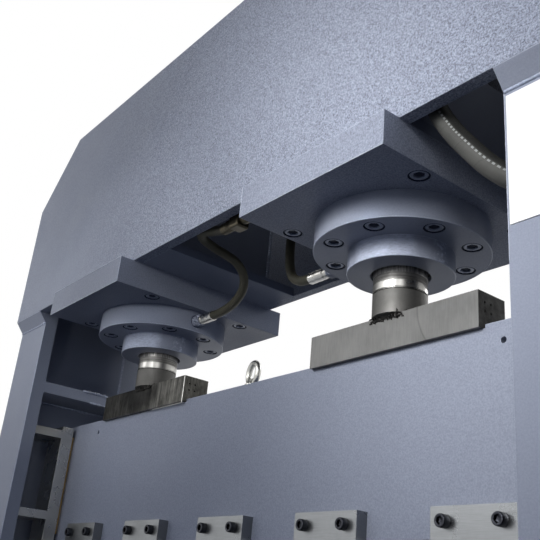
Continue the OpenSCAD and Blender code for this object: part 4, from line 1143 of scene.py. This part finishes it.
# Painted highlights: pale steel lines along the right end of the left bar.
bar_end = BAR_TOP[0] - 2 * AXIS_X - SUNK            # right end of the left bar
bar_y, bar_low = BAR[1] + SUNK, BAR_TOP[2] - 60.2 * MM
bar_highlight_lines = join(edge_line((bar_end, bar_y, bar_low), (bar_end, bar_y, BAR_TOP[2] - MM), 0.8),
                 edge_line((bar_end - 0.12, bar_y, bar_low), (bar_end, bar_y, bar_low), 0.6))
piece("bar_edge_highlights", bar_highlight_lines, GROUND, body="ram")
print("worn rims:", len(rims))

# %% [markdown]
# Where each rod nose stands on its saddle bar it is wider than the bar, so a piece of its round foot
# hangs over the edge. That corner was filled by hand with a heavy, burnt weld, left black and rough.

# %% Burnt welds under the rod noses
NOSE_R = 45 * MM
chord = math.sqrt(NOSE_R**2 - BAR[1]**2)            # half the nose's width over the bar's side
share = np.linspace(-1, 1, 12)
drop = turned(mm((0, -1.6), (1.3, -0.8), (1.5, 0.2), (0.9, 1.3), (0, 1.6)), 8)
burnt = []
for x in (-AXIS_X, AXIS_X):
    for y, z, size in ((-1, 1.5, 6.0), (-1, -3.5, 4.2), (1, 0.5, 5.0)):
        line = share[:, None] * [chord * 0.96, 0, 0] + [x, -y * BAR[1], BAR_TOP[2] + z * MM]
        line[:, 1] -= y * 3.2 * MM * (1 - share**2)
        burnt.append(bead(line, size * MM, 7 * MM, 0.22, 14))
    for first, last in ((-38, 38), (142, 218)):
        foot = arc((x, 0, BAR_TOP[2] + 0.5 * MM), NOSE_R + MM, first, last)
        burnt.append(bead(foot, 3.5 * MM, 6 * MM, 0.18))
    spatter = CHANCE.uniform(-1, 1, (30, 3)) * [chord * 1.1, 0.8 * MM, 3 * MM]
    burnt.append(scatter(drop, spatter + [x, BAR[1] - 0.5 * MM, BAR_TOP[2] - 5 * MM]))
piece("burnt_nose_welds", join(*burnt), SCALE_BLACK, body="ram")
print("burnt beads and patches of spatter:", len(burnt))

# %% [markdown]
# ## The eye bolt
# A forged eye has no corners: the ring is a circle carried round a circle, and its foot flares into a
# flat collar. It stands on the ram, so it rides on the ram's body.


# %% Eye bolt
def thread(radius, depth, pitch, length, starts=1, sides=48):
    """Screw thread: radius minus depth times a rounded wave of (z / pitch - angle) turns."""
    z = np.linspace(0, length, int(length / (pitch / starts) * 8) + 1)[:, None]
    a = angles(sides)[None]
    wave = np.cos(2 * np.pi * (z / pitch * starts - starts * a / (2 * np.pi)))
    r = radius - depth * (0.5 - 0.5 * np.clip(1.6 * wave, -1, 1))
    return grid(np.stack([r * np.cos(a), r * np.sin(a), z + 0 * a], -1), wrap_v=True)


eye_foot = turned(mm((0, 0), (15, 0), (15.4, 1.2), (15, 4.5), (12.6, 5.6), (10, 8.5),
                     (8.6, 12.5), (7, 16), (0, 16)))
eye = join(eye_foot, along(torus(21 * MM, 6 * MM), "y", (0, 0, 27.3 * MM)),
           along(thread(6 * MM, 0.8 * MM, 1.75 * MM, 28 * MM), at=(0, 0, -28 * MM)))
lifting_eye = piece("forged_eye", along(eye, at=(0, 0, RAM_TOP[2]), turn=-12), ZINC, body="ram",
                    sharp=50)
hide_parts("eye_bolt")
print("eye bolt:", len(eye[1]), "faces")

# %% [markdown]
# ## Small things on the frame
# A rubber ring lines the hole where the supply hose leaves the column, and clips hold the return
# pipe.

# %% Grommet and pipe clips
HOLE = (WEB_X, -80 * MM, BLOCK_Z - 79 * MM)
grommet = ring([(16.4, -38), (16.4, 6), (19, 7.5), (26, 6.5), (28.5, 4), (28.5, 1), (28, 0),
                (21.9, 0), (21.9, -32), (28, -32), (28.5, -35), (26, -38.5), (19, -39.5)])
piece("hose_grommet", along(grommet, "x", HOLE), SEAL, sharp=50)

strap = ring([(11.1, -9), (13.2, -9), (13.2, 9), (11.1, 9)], 40)
PIPE_Y = 216 * MM
level_at = [np.array((x, PIPE_Y, BLOCK_Z + 400 * MM)) for x in (0.30, 0.56, 0.80)]
upright_at = [np.array((905 * MM, PIPE_Y, z)) for z in (0.90, 1.30, 1.70)]
clips = []
for at in level_at:
    foot_low = at + [-9 * MM, -27 * MM, -24 * MM]
    clips += [along(strap, "x", at), slab(foot_low, foot_low + [18 * MM, 17 * MM, 13 * MM]),
              slab(foot_low + [0, 0, 35 * MM], foot_low + [18 * MM, 17 * MM, 48 * MM])]
    clips += [along(nut(8 * MM, 5 * MM), "y", at + [0, -10 * MM, z * MM]) for z in (-18, 18)]
for at in upright_at:
    low, high = at[2] - 9 * MM, at[2] + 9 * MM
    clips += [along(strap, "z", at),
              slab((0.835, FRAME_Y, low), (0.920, FRAME_Y + 4 * MM, high)),
              slab((0.903, FRAME_Y, low), (0.907, PIPE_Y - 10 * MM, high)),
              along(nut(10 * MM, 6 * MM), "y", (0.850, FRAME_Y + 4 * MM, at[2]))]
piece("pipe_clips", join(*clips), ZINC)
print("pipe clips:", len(level_at) + len(upright_at))

# %% [markdown]
# ## Screws, studs and nuts
# The clamps and the die rail are held by knurled M12 screws. The machine stands on eight levelling
# screws: a threaded stud through the base plate, with a locking nut and a six-sided head on top.

# %% Clamp screws, die screws and levelling screws
m12 = cap_screw(12, 18, 12, 10, 38, knurl=30)
HOLDER_Z = corner("tool_holders", 0)[2]
CLAMP = corner("clamp_plates", 0)
pitch = 0.28                                        # from one tool holder to the next
clamp_places = [((k - 2) * pitch + x, CLAMP[1] - 12 * MM, z) for k in range(5)
                for x in (-45 * MM, 45 * MM) for z in (HOLDER_Z + 44 * MM, RAM[2] + 20 * MM)]
clamp_screws = piece("knurled_clamp_screws", scatter(along(m12, "y", turn=15), clamp_places),
                     BLACK_OXIDE, body="ram", sharp=40)
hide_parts("clamp_screws")

RAIL_TOP = corner("die_rail", 1)[2]
die_places = [(x, y, RAIL_TOP - MM) for x in np.arange(-650, 651, 260) * MM
              for y in (-50 * MM, 50 * MM)]
m12_long = cap_screw(12, 18, 12, 10, 45, knurl=30)
die_screws = piece("knurled_die_screws", scatter(along(m12_long, "-z"), die_places), BLACK_OXIDE,
                   sharp=40)
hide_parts("die_screws")

stud = join(along(thread(10 * MM, 1.3 * MM, 2.5 * MM, 59 * MM), at=(0, 0, MM)),
            along(nut(30 * MM, 15 * MM, 10.4 * MM), at=(0, 0, 30.5 * MM), turn=9),
            along(ring([(10.5, 0), (18, 0), (18, 0.5), (10.5, 0.5)]), at=(0, 0, 30 * MM)),
            along(nut(30 * MM, 13 * MM), at=(0, 0, 60 * MM), turn=24))
stud_places = [(s * x * MM, y * MM, 0) for s in (-1, 1) for x in (735, 847) for y in (-205, 205)]
studs = piece("levelling_studs", scatter(stud, stud_places), ZINC)
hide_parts("levelling_screws")
print("screws:", len(clamp_places) + len(die_places) + len(stud_places))

# %% [markdown]
# ## The power pack
# An electric motor is a cast body with cooling fins. Its section is a gear-like curve: the radius
# steps between two values as the angle goes round, so one turned shape gives all thirty-six fins. The
# fan cover is pressed sheet with ring-shaped openings.


# %% Motor
def fins(count, inner):
    """Section with fins: the radius's share is 1 on a fin and `inner` between two fins."""
    return lambda a: inner + (1 - inner) * np.clip(0.5 + 2.2 * np.cos(count * a) - 0.9, 0, 1)


MOTOR = (1.120, 0.090, corner("motor", 0)[2])
FIN_R = 88
case = turned(mm((0, 92), (70, 92), (74, 98), (FIN_R * 0.86, 99, 0.3), (FIN_R, 104, 1.0),
                 (FIN_R, 292, 1.0), (FIN_R * 0.86, 298, 0.3), (70, 302), (0, 302)),
              288, fins(36, 0.86))
bell = turned(mm((0, 0), (70, 0), (70, 8), (62, 11), (61, 60), (66, 76), (92, 80), (100, 82),
                 (100, 95), (97, 97), (0, 97)), 64)
openings = [(66 - 12 * k + r, z) for k in range(5)
            for r, z in ((4, 360), (3.5, 352), (-3.5, 352), (-4, 360))]
cover = turned(mm((0, 298), (90.5, 298), (92, 299), (92, 340), (89, 352), (80, 359), (72, 360),
                  *openings, (0, 360)), 64)
lug_places = arc((0, 0, 96 * MM), 84 * MM, 45, 315, 4)
lugs = [along(nut(15 * MM, 9 * MM), "z", at, 20) for at in lug_places]
guards = [along(slab_mm((14, -3, 0), (76, 3, 7)), at=(0, 0, 352.8 * MM), turn=t)
          for t in range(0, 360, 60)]
motor = piece("finned_motor", along(join(case, bell, cover, *lugs, *guards), at=MOTOR), CASTING,
              sharp=40)
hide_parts("motor")
print("motor:", len(motor.data.polygons), "faces")

# %% [markdown]
# The cables come in through a box on the motor's side: two blocks with a gap between them for the
# gasket, four screws, and a gland below.

# %% Terminal box and rating plate
def on_motor(low, high):
    """Block in millimetres whose heights are counted from the motor's lowest corner."""
    return along(slab_mm(low, high), at=(0, 0, MOTOR[2]))


terminal_box = join(on_motor((1178, 40, 170), (1236, 140, 260)),
                    on_motor((1237, 37, 167), (1243, 143, 263)))
piece("terminal_box", terminal_box, CASTING, bevel=3 * MM)
plate_screw = cap_screw(5, 8, 4, 4, 3)
terminal_screws = [along(plate_screw, "-x", (1.2465, y, MOTOR[2] + z))
                   for y in (0.046, 0.134) for z in (0.176, 0.254)]
cable_at = np.array((1.208, 0.090, MOTOR[2] + 0.171))           # under the terminal box
cable_gland = join(along(nut(24 * MM, 8 * MM), "-z", cable_at),
                   along(turned(mm((0, 0), (10, 0), (10, 12), (7.5, 16), (0, 16)), 32), "-z",
                         cable_at - [0, 0, 7 * MM]))
piece("terminal_screws", join(*terminal_screws, cable_gland), ZINC, sharp=40)
piece("motor_rating_plate", on_motor((1085, -0.5, 170), (1155, 12, 215)), ALUMINIUM,
      bevel=0.8 * MM)
print("terminal screws:", len(terminal_screws))

# %% [markdown]
# The tank carries what an oil tank needs: a glass to read the level, a filler cap with a breather, a
# drain plug, and screws round its lid. On the valve block sit a pressure gauge, two solenoid coils
# with their plugs, and screwed plugs in the unused ports.

# %% Tank and valves
TANK_Y = corner("oil_tank", 0)[1]
LID_TOP = corner("tank_lid", 0)[2] + 15 * MM
glass_at = np.array([0.960, TANK_Y, 0.300])
glass_frame = join(slab_mm((-14, -70, 0), (-8, 70, 10)), slab_mm((8, -70, 0), (14, 70, 10)),
                   slab_mm((-14, -88, 0), (14, -68, 11)), slab_mm((-14, 68, 0), (14, 88, 11)))
piece("level_gauge_frame", along(glass_frame, "-y", glass_at), ALUMINIUM,
      bevel=1.5 * MM)
tube = turned(mm((0, 0), (6, 0), (6, 140), (0, 140)), 32)
piece("level_glass", along(tube, "z", glass_at + [0, -5 * MM, -70 * MM]), AMBER)
lid_places = [(x, y, LID_TOP) for x in (0.896, 1.07, 1.244) for y in (-0.224, 0.224)]
lid_places += [(x, 0.0, LID_TOP) for x in (0.896, 1.244)]
bolts = [along(nut(13 * MM, 6 * MM), "-y", glass_at + [0, -10 * MM, z * MM]) for z in (-78, 78)]
bolts += [along(nut(26 * MM, 12 * MM), "-y", (1.19, TANK_Y, 0.10), 12),
          scatter(nut(13 * MM, 7 * MM), lid_places),
          scatter(ring([(5, 0), (8, 0), (8, 1.2), (5, 1.2)], 32), lid_places)]
piece("tank_bolts", join(*bolts), ZINC, sharp=40)
filler = turned(mm((0, 2), (39.5, 2, 1), (40, 5, 1), (40, 26, 1), (39, 30, 1), (38.6, 31),
                   (38.6, 56), (36, 61), (26, 64), (0, 65)), 180, fins(30, 0.965))
piece("filler_cap", along(filler, at=(1.190, -0.160, LID_TOP)), BLACK, sharp=40)
print("lid screws:", len(lid_places))

# %% [markdown]
# The valve block's ports are drilled from outside, so each unused one is closed with a screwed plug.
# The gauge is a turned case with a white dial behind its rim, fifteen degrees from mark to mark.

# %% Valve block and pressure gauge
VALVE_X, VALVE_Y = 1.0, corner("valve_block", 0)[1]
GAUGE_Z, SOLENOIDS_Z = 0.690, (0.592, 0.682)
plugs = [along(cap_screw(18, 24, 5, 10, 4), "y", (x, VALVE_Y - 5 * MM, z))
         for x, z in ((0.965, 0.54), (1.035, 0.54), (1.035, 0.62), (0.965, 0.62))]
plugs += [along(nut(22 * MM, 14 * MM), "y", (VALVE_X, 0.020, z), 10) for z in (0.580, 0.670)]
plugs += [along(nut(20 * MM, 16 * MM), "-y", (VALVE_X, VALVE_Y, GAUGE_Z)),
          along(nut(30 * MM, 16 * MM), "z", (0.905, 0.216, LID_TOP))]
piece("valve_plugs", join(*plugs), ZINC, sharp=40)
coil = join(slab_mm((972, -52, 12), (1028, -8, 40)), slab_mm((966, -56, -1), (1034, -6, 14)))
piece("coil_plugs", scatter(coil, [(0, 0, z) for z in SOLENOIDS_Z]), BLACK,
      bevel=2.5 * MM)
DIAL = (VALVE_X, VALVE_Y - 16 * MM, GAUGE_Z)
gauge_case = turned(mm((0, 0), (27, 0), (31, 3), (31.5, 24), (33.5, 25), (33.5, 30), (31, 31),
                       (28.5, 30), (28.2, 26.5), (0, 26.5)), 64)
piece("pressure_gauge", along(gauge_case, "-y", DIAL), ZINC)
dial = turned(mm((0, 26), (28.1, 26), (28.1, 27), (0, 27)), 48)
piece("gauge_dial", along(dial, "-y", DIAL), LABEL)
ticks = [along(slab_mm((-0.4, 21, 0), (0.4, 26, 0.4)), at=(0, 0, 26.8 * MM), turn=t)
         for t in range(-135, 136, 15)]
hand = [along(slab_mm((-0.6, -6, 0), (0.6, 20, 0.6)), at=(0, 0, 27.4 * MM), turn=-128),
        along(turned(mm((0, 0), (2.5, 0), (2.5, 1.4), (0, 1.8)), 16), at=(0, 0, 27 * MM))]
piece("gauge_marks", along(join(*ticks, *hand), "-y", DIAL), BLACK)
print("plugs:", len(plugs), "marks on the dial:", len(ticks))

# %% [markdown]
# ## The controls
# Push buttons have a chromed collar and a cap that is slightly hollow, so that a finger doesn't slip
# off; the stop button is a mushroom on a yellow disc. The arrows on the caps are raised triangles.

# %% Push buttons
PANEL_Y = corner("control_box", 0)[1]
CAP_Y = PANEL_Y - 8 * MM
PUSH_X, PUSH_Z, STOP_X, STOP_Z = (0.764, 0.818), 1.000, 0.791, 0.900
BUTTONS = {"up": (PUSH_X[0], GREEN, "green_plastic", 0),
           "down": (PUSH_X[1], BLACK, "black_plastic", 180)}
button = turned(mm((0, 8), (11, 8), (11, 0.5), (15, 0.4), (15.8, -0.6), (16, -5), (15.2, -5.8),
                   (13.5, -6), (9, -5.3), (0, -4.8)), 48)
arrow = prism(mm((-6, -4), (6, -4), (0, 6)), 1.2 * MM)
for name, (x, colour, slot_name, turn) in BUTTONS.items():
    cap_piece = piece(name + "_cap", along(button, "y", (x, CAP_Y, PUSH_Z)), colour, body=name)
    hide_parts(name + "_button")
    piece(name + "_arrow", along(arrow, "-y", (x, CAP_Y - 4.6 * MM, PUSH_Z), turn), LABEL,
          body=name)
mushroom = turned(mm((0, 14), (11, 14), (11, 0), (14, -1), (21, -2), (22, -4), (21.6, -8),
                     (18, -12), (10, -13.6), (0, -14)), 64)
stop_cap = piece("stop_mushroom", along(mushroom, "y", (STOP_X, CAP_Y, STOP_Z)), RED, body="stop")
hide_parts("stop_button")
bezel = ring([(11.2, 0), (17.5, 0), (17.5, 1.6), (16.8, 2.6), (12.5, 2.8), (11.2, 2.2)])
bezels = [along(bezel, "-y", (x, PANEL_Y, z))
          for x, z in ((PUSH_X[0], PUSH_Z), (PUSH_X[1], PUSH_Z), (STOP_X, STOP_Z))]
piece("button_collars", join(*bezels), CHROME)
disc = ring([(17.6, 0), (31, 0), (31, 1.2), (30.4, 1.6), (17.6, 1.6)], 64)
piece("stop_disc", along(disc, "-y", (STOP_X, PANEL_Y, STOP_Z)), YELLOW)
corner_screws = [along(plate_screw, "y", (x, PANEL_Y - 3.5 * MM, z))
                 for x in (0.739, 0.843) for z in (0.848, 1.052)]
piece("box_screws", join(*corner_screws), ZINC, sharp=40)
tag = slab_mm((-14, -0.8, 22), (14, 0.2, 34))
tags = scatter(tag, [(x, PANEL_Y, PUSH_Z) for x in PUSH_X])
piece("blank_tags", tags, ALUMINIUM)
print("push buttons:", len(BUTTONS), "and a stop")

# %% [markdown]
# The switch cabinet is folded sheet: its door has a lock, air slots and a blank rating plate, and the
# main switch is a red bar on a yellow plate.

# %% Switch cabinet
DOOR_X = corner("cabinet_door", 0)[0]
SWITCH_Z = 1.040


def on_door(low, high):
    """Block in millimetres, counted from the door's face."""
    return along(slab_mm(low, high), at=(DOOR_X, 0, 0))


piece("switch_plate", on_door((-1, -33, 1007), (0.5, 33, 1073)), YELLOW, body="door",
      bevel=0.4 * MM)
knob = join(turned(mm((0, 0), (25, 0), (26, 2), (24, 13), (22, 15), (0, 15)), 64),
            turned(mm((0, -34), (9, -34), (9, 1), (0, 1)), 32))
grip = prism(mm((-26, -4), (-24, -7), (24, -7), (26, -4), (26, 4), (24, 7), (-24, 7), (-26, 4)),
             20 * MM)
handle_shape = join(along(knob, "-x", (DOOR_X - 1.2 * MM, 0, SWITCH_Z)),
                    along(grip, "-x", (DOOR_X - 15.5 * MM, 0, SWITCH_Z)))
handle = piece("red_switch_handle", handle_shape, RED, body="switch",
               bevel=1.2 * MM)
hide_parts("main_switch")
lock_at = (DOOR_X, -0.130, 0.940)
lock = join(along(turned(mm((0, 0), (15, 0), (15, 3), (13, 5), (6, 5), (6, 3), (0, 3)), 48), "-x",
                  lock_at),
            along(slab_mm((-2, -5, 0), (2, 5, 4.5)), "-x", lock_at, 20))
piece("door_lock", lock, ZINC, body="door", bevel=0.4 * MM)
louvres = [on_door((-2.5, -75, z), (1, 75, z + 4)) for z in range(735, 815, 12)]
piece("door_louvres", join(*louvres), CABINET, body="door", bevel=1.5 * MM)
piece("rating_plate", on_door((-0.8, -45, 900), (0.3, 45, 960)), ALUMINIUM, body="door",
      bevel=0.3 * MM)
print("air slots:", len(louvres))

# %% [markdown]
# ## The back gauge
# The gauge beam is moved by a screw with a coarse four-start thread: one turn of the handwheel
# carries the beam 20 mm. The thread is a rounded wave that climbs by the lead in one turn.

# %% Gauge screw and scale
SCREW_Y = corner("gauge_screw", 0)[1]
WHEEL_Y, AXIS_Z = 0.735, 0.800
WHEEL = np.array((0, WHEEL_Y, AXIS_Z))
leading = thread(10 * MM, 1.6 * MM, 20 * MM, WHEEL_Y + 0.006 - SCREW_Y, starts=4, sides=40)
collar = ring([(9.6, 0), (16, 0), (17, 1), (17, 9), (16, 10), (9.6, 10)])
collars = [along(collar, "y", (0, y + 0.3 * MM, AXIS_Z)) for y in (-SKIN[1] + 25 * MM, 0.705)]
hub = turned(mm((0, -13), (20, -13), (22, -11), (22, 11), (20, 13), (0, 13)), 48)
spoke = swept([(18 * MM, 0, 0), (40 * MM, 0, 1.5 * MM), (60 * MM, 0, MM), (72 * MM, 0, 0)],
              np.array([7, 5.5, 5, 6]) * MM, 20, (0, 0, 1))
spokes = [along(along(spoke, turn=t), "y", WHEEL) for t in (90, 210, 330)]
wheel = join(along(leading, "y", (0, SCREW_Y, AXIS_Z)), *collars, along(hub, "y", WHEEL), *spokes)
lead = piece("gauge_lead_screw", wheel, ZINC, body="screw", sharp=50)
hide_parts("gauge_screw")
crank = turned(mm((0, 0), (6, 0), (6, 6), (9, 24), (9, 48), (7, 58), (0, 61)), 40)
rim = join(along(torus(75 * MM, 8 * MM, 72, 24), "y", WHEEL),
           along(crank, "y", WHEEL + [0, 4 * MM, 75 * MM]))
piece("handwheel_rim", rim, BLACK, body="screw")
BEAM_AT = (0, corner("gauge_beam", 0)[1] + 20 * MM, 0.850)      # the beam's front face, lower edge
strip = slab_mm((-545, -0.8, 22), (545, 0.3, 40))
piece("scale_strip", along(strip, at=BEAM_AT), ALUMINIUM, body="gauge")
marks = []
for k in range(109):
    x, top = 10 * k - 540, 34 if k % 10 == 0 else 31 if k % 5 == 0 else 28
    marks.append(slab_mm((x - 0.25, -1.0, 23), (x + 0.25, -0.6, top)))
piece("scale_marks", along(join(*marks), at=BEAM_AT), BLACK, body="gauge")
tip = join(slab_mm((-16, 248.5, 888), (16, 253.5, 917)),
           along(cap_screw(5, 9, 4, 4, 6), "y", (0, 0.2450, 0.903)))
top = turned(mm((0, 29), (16.6, 29, 1), (17.8, 31, 1), (17.8, 46, 1), (16.6, 48.4, 1), (9, 49),
                (0, 49)), 120, fins(24, 0.955))
for x, body in ((-0.250, "finger_left"), (0.250, "finger_right")):
    piece(body + "_tip", along(tip, at=(x, 0, 0)), GROUND, body=body, sharp=40)
    piece(body + "_knob", along(top, at=(x, 0.450, 0.910)), BLACK, body=body,
          sharp=45)

# %% [markdown]
# ## The studio
# The floor is plain and pale. Seen by the camera and in reflections, the room is white; but the light
# that the floor and the room throw onto the undersides of the machine is weak, because in a real hall
# the floor under a machine is dark. Light Path tells the two apart. A weak softbox stands in front.
# Soft spots light the front panel, the ram, the left side, the glands, a boss, the supply hose and
# the left shelf. Two tiny lamps glow inside the beam, and side lamps and a back lamp lift the edges.

# %% Floor and room
def open_rays(tree):
    """1 for the rays that see the room, from the camera, a gloss or glass, and 0 for others."""
    path = add(tree, "LightPath").outputs
    return maths(tree, "MAXIMUM", path["Is Camera Ray"],
                 maths(tree, "MAXIMUM", path["Is Glossy Ray"], path["Is Transmission Ray"]))


FLOOR_SIZE = 14.0
floor_mesh = bpy.data.meshes.new("floor")
half = FLOOR_SIZE / 2
corners = [(-half, -half, 0), (half, -half, 0), (half, half, 0), (-half, half, 0)]
floor_mesh.from_pydata(corners, [], [(0, 1, 2, 3)])
floor = bpy.data.objects.new("floor", floor_mesh)
bpy.context.scene.collection.objects.link(floor)
floor_paint, tree, shader = finish("floor_paint", (0.80, 0.80, 0.80), 0.8, Specular_IOR_Level=0.1)
seen = open_rays(tree)
far_out = add(tree, "VectorMath", {0: place(tree)}, operation="LENGTH").outputs["Value"]
fade = ramp(tree, maths(tree, "DIVIDE", far_out, half), (0.30, 0.0), (0.80, 1.0))
shader.inputs["Emission Color"].default_value = (1, 1, 1, 1)
glow = maths(tree, "ADD", times(tree, fade, 0.54), 0.46)
bright_floor = blend(tree, fade, (0.80,) * 3, (0, 0, 0))
wire(tree, shader, Base_Color=blend(tree, seen, (0.04, 0.06, 0.11), bright_floor),
     Emission_Strength=times(tree, seen, glow))
floor_mesh.materials.append(floor_paint)

world = bpy.data.worlds.new("studio")
bpy.context.scene.world = world
world.use_nodes = True
room = world.node_tree
backdrop = room.nodes["Background"]
open_view = open_rays(room)
FILL = 0.36
room.links.new(maths(room, "ADD", times(room, open_view, 1 - FILL), FILL),
               backdrop.inputs["Strength"])
room.links.new(blend(room, open_view, (0.44, 0.52, 0.72), (1, 1, 1)), backdrop.inputs["Color"])
bpy.context.scene.view_settings.view_transform = "Standard"
print("floor: %.0f m wide" % FLOOR_SIZE)

# %% [markdown]
# A spot whose edge is fully blended leaves no circle on the paint, and a wide source makes its shadow
# soft. Each lamp is aimed at a point of the machine, so a lamp can be moved without turning it.

# %% Lamps
def lamp(name, at, towards, power, size=0.0, cone=0.0):
    """Square area lamp of a size, or a spot with a soft cone in degrees, that faces a point."""
    data = bpy.data.lights.new(name, "SPOT" if cone else "AREA")
    data.energy = power
    if cone:
        data.spot_size, data.spot_blend, data.shadow_soft_size = math.radians(cone), 1.0, 0.35
    else:
        data.size = size
    made = bpy.data.objects.new(name, data)
    bpy.context.scene.collection.objects.link(made)
    made.location = at
    made.rotation_euler = (Vector(towards) - Vector(at)).to_track_quat("-Z", "Y").to_euler()
    return made


lamp("front_softbox", (0.4, -2.6, 2.5), (0.4, 0, 1.6), 9, size=1.5)
lamp("panel_spot", (0.7, -2.4, 2.5), (0.50, -0.27, 1.79), 195, cone=26)
lamp("high_spot", (-0.4, -2.4, 2.8), (0.24, -0.27, 1.89), 138, cone=18)
lamp("ram_spot", (0.9, -2.4, 1.9), (0.70, -0.02, 1.38), 190, cone=20)
lamp("left_spot", (-0.9, -2.6, 1.8), (-0.95, -0.27, 1.72), 110, cone=18)
lamp("gland_spot", (0.72, -2.25, 1.76), (-AXIS_X - 12 * MM, 0, FLANGE_Z), 480, cone=8)
lamp("boss_spot", (1.0, -2.2, 1.50), (AXIS_X, 0, FLANGE_Z - 19 * MM), 112, cone=6)
lamp("hose_spot", (0.62, -1.6, 0.75), (0.65, -0.14, BLOCK_Z), 30, cone=8)
lamp("shelf_spot", (0.9, -1.3, 0.7), (-0.75, -0.08, SHELF_Z), 120, cone=5)
lamp("beam_lamp", (-0.2, 0, 2.1), (0, 0.1, 1.6), 0.18, size=0.1)
lamp("right_beam_lamp", (0.68, -0.05, 2.1), (0.7, 0.2, 1.6), 0.07, size=0.1)
lamp("left_lamp", (-1.6, -2.4, 2.3), (0, 0, 1.6), 10, size=0.8)
lamp("right_lamp", (1.6, -1.4, 2.2), (0.6, 0, 1.6), 3, size=0.5)
lamp("back_lamp", (0.4, 2.8, 3.2), (0.1, 0, 1.5), 30, size=1.0)
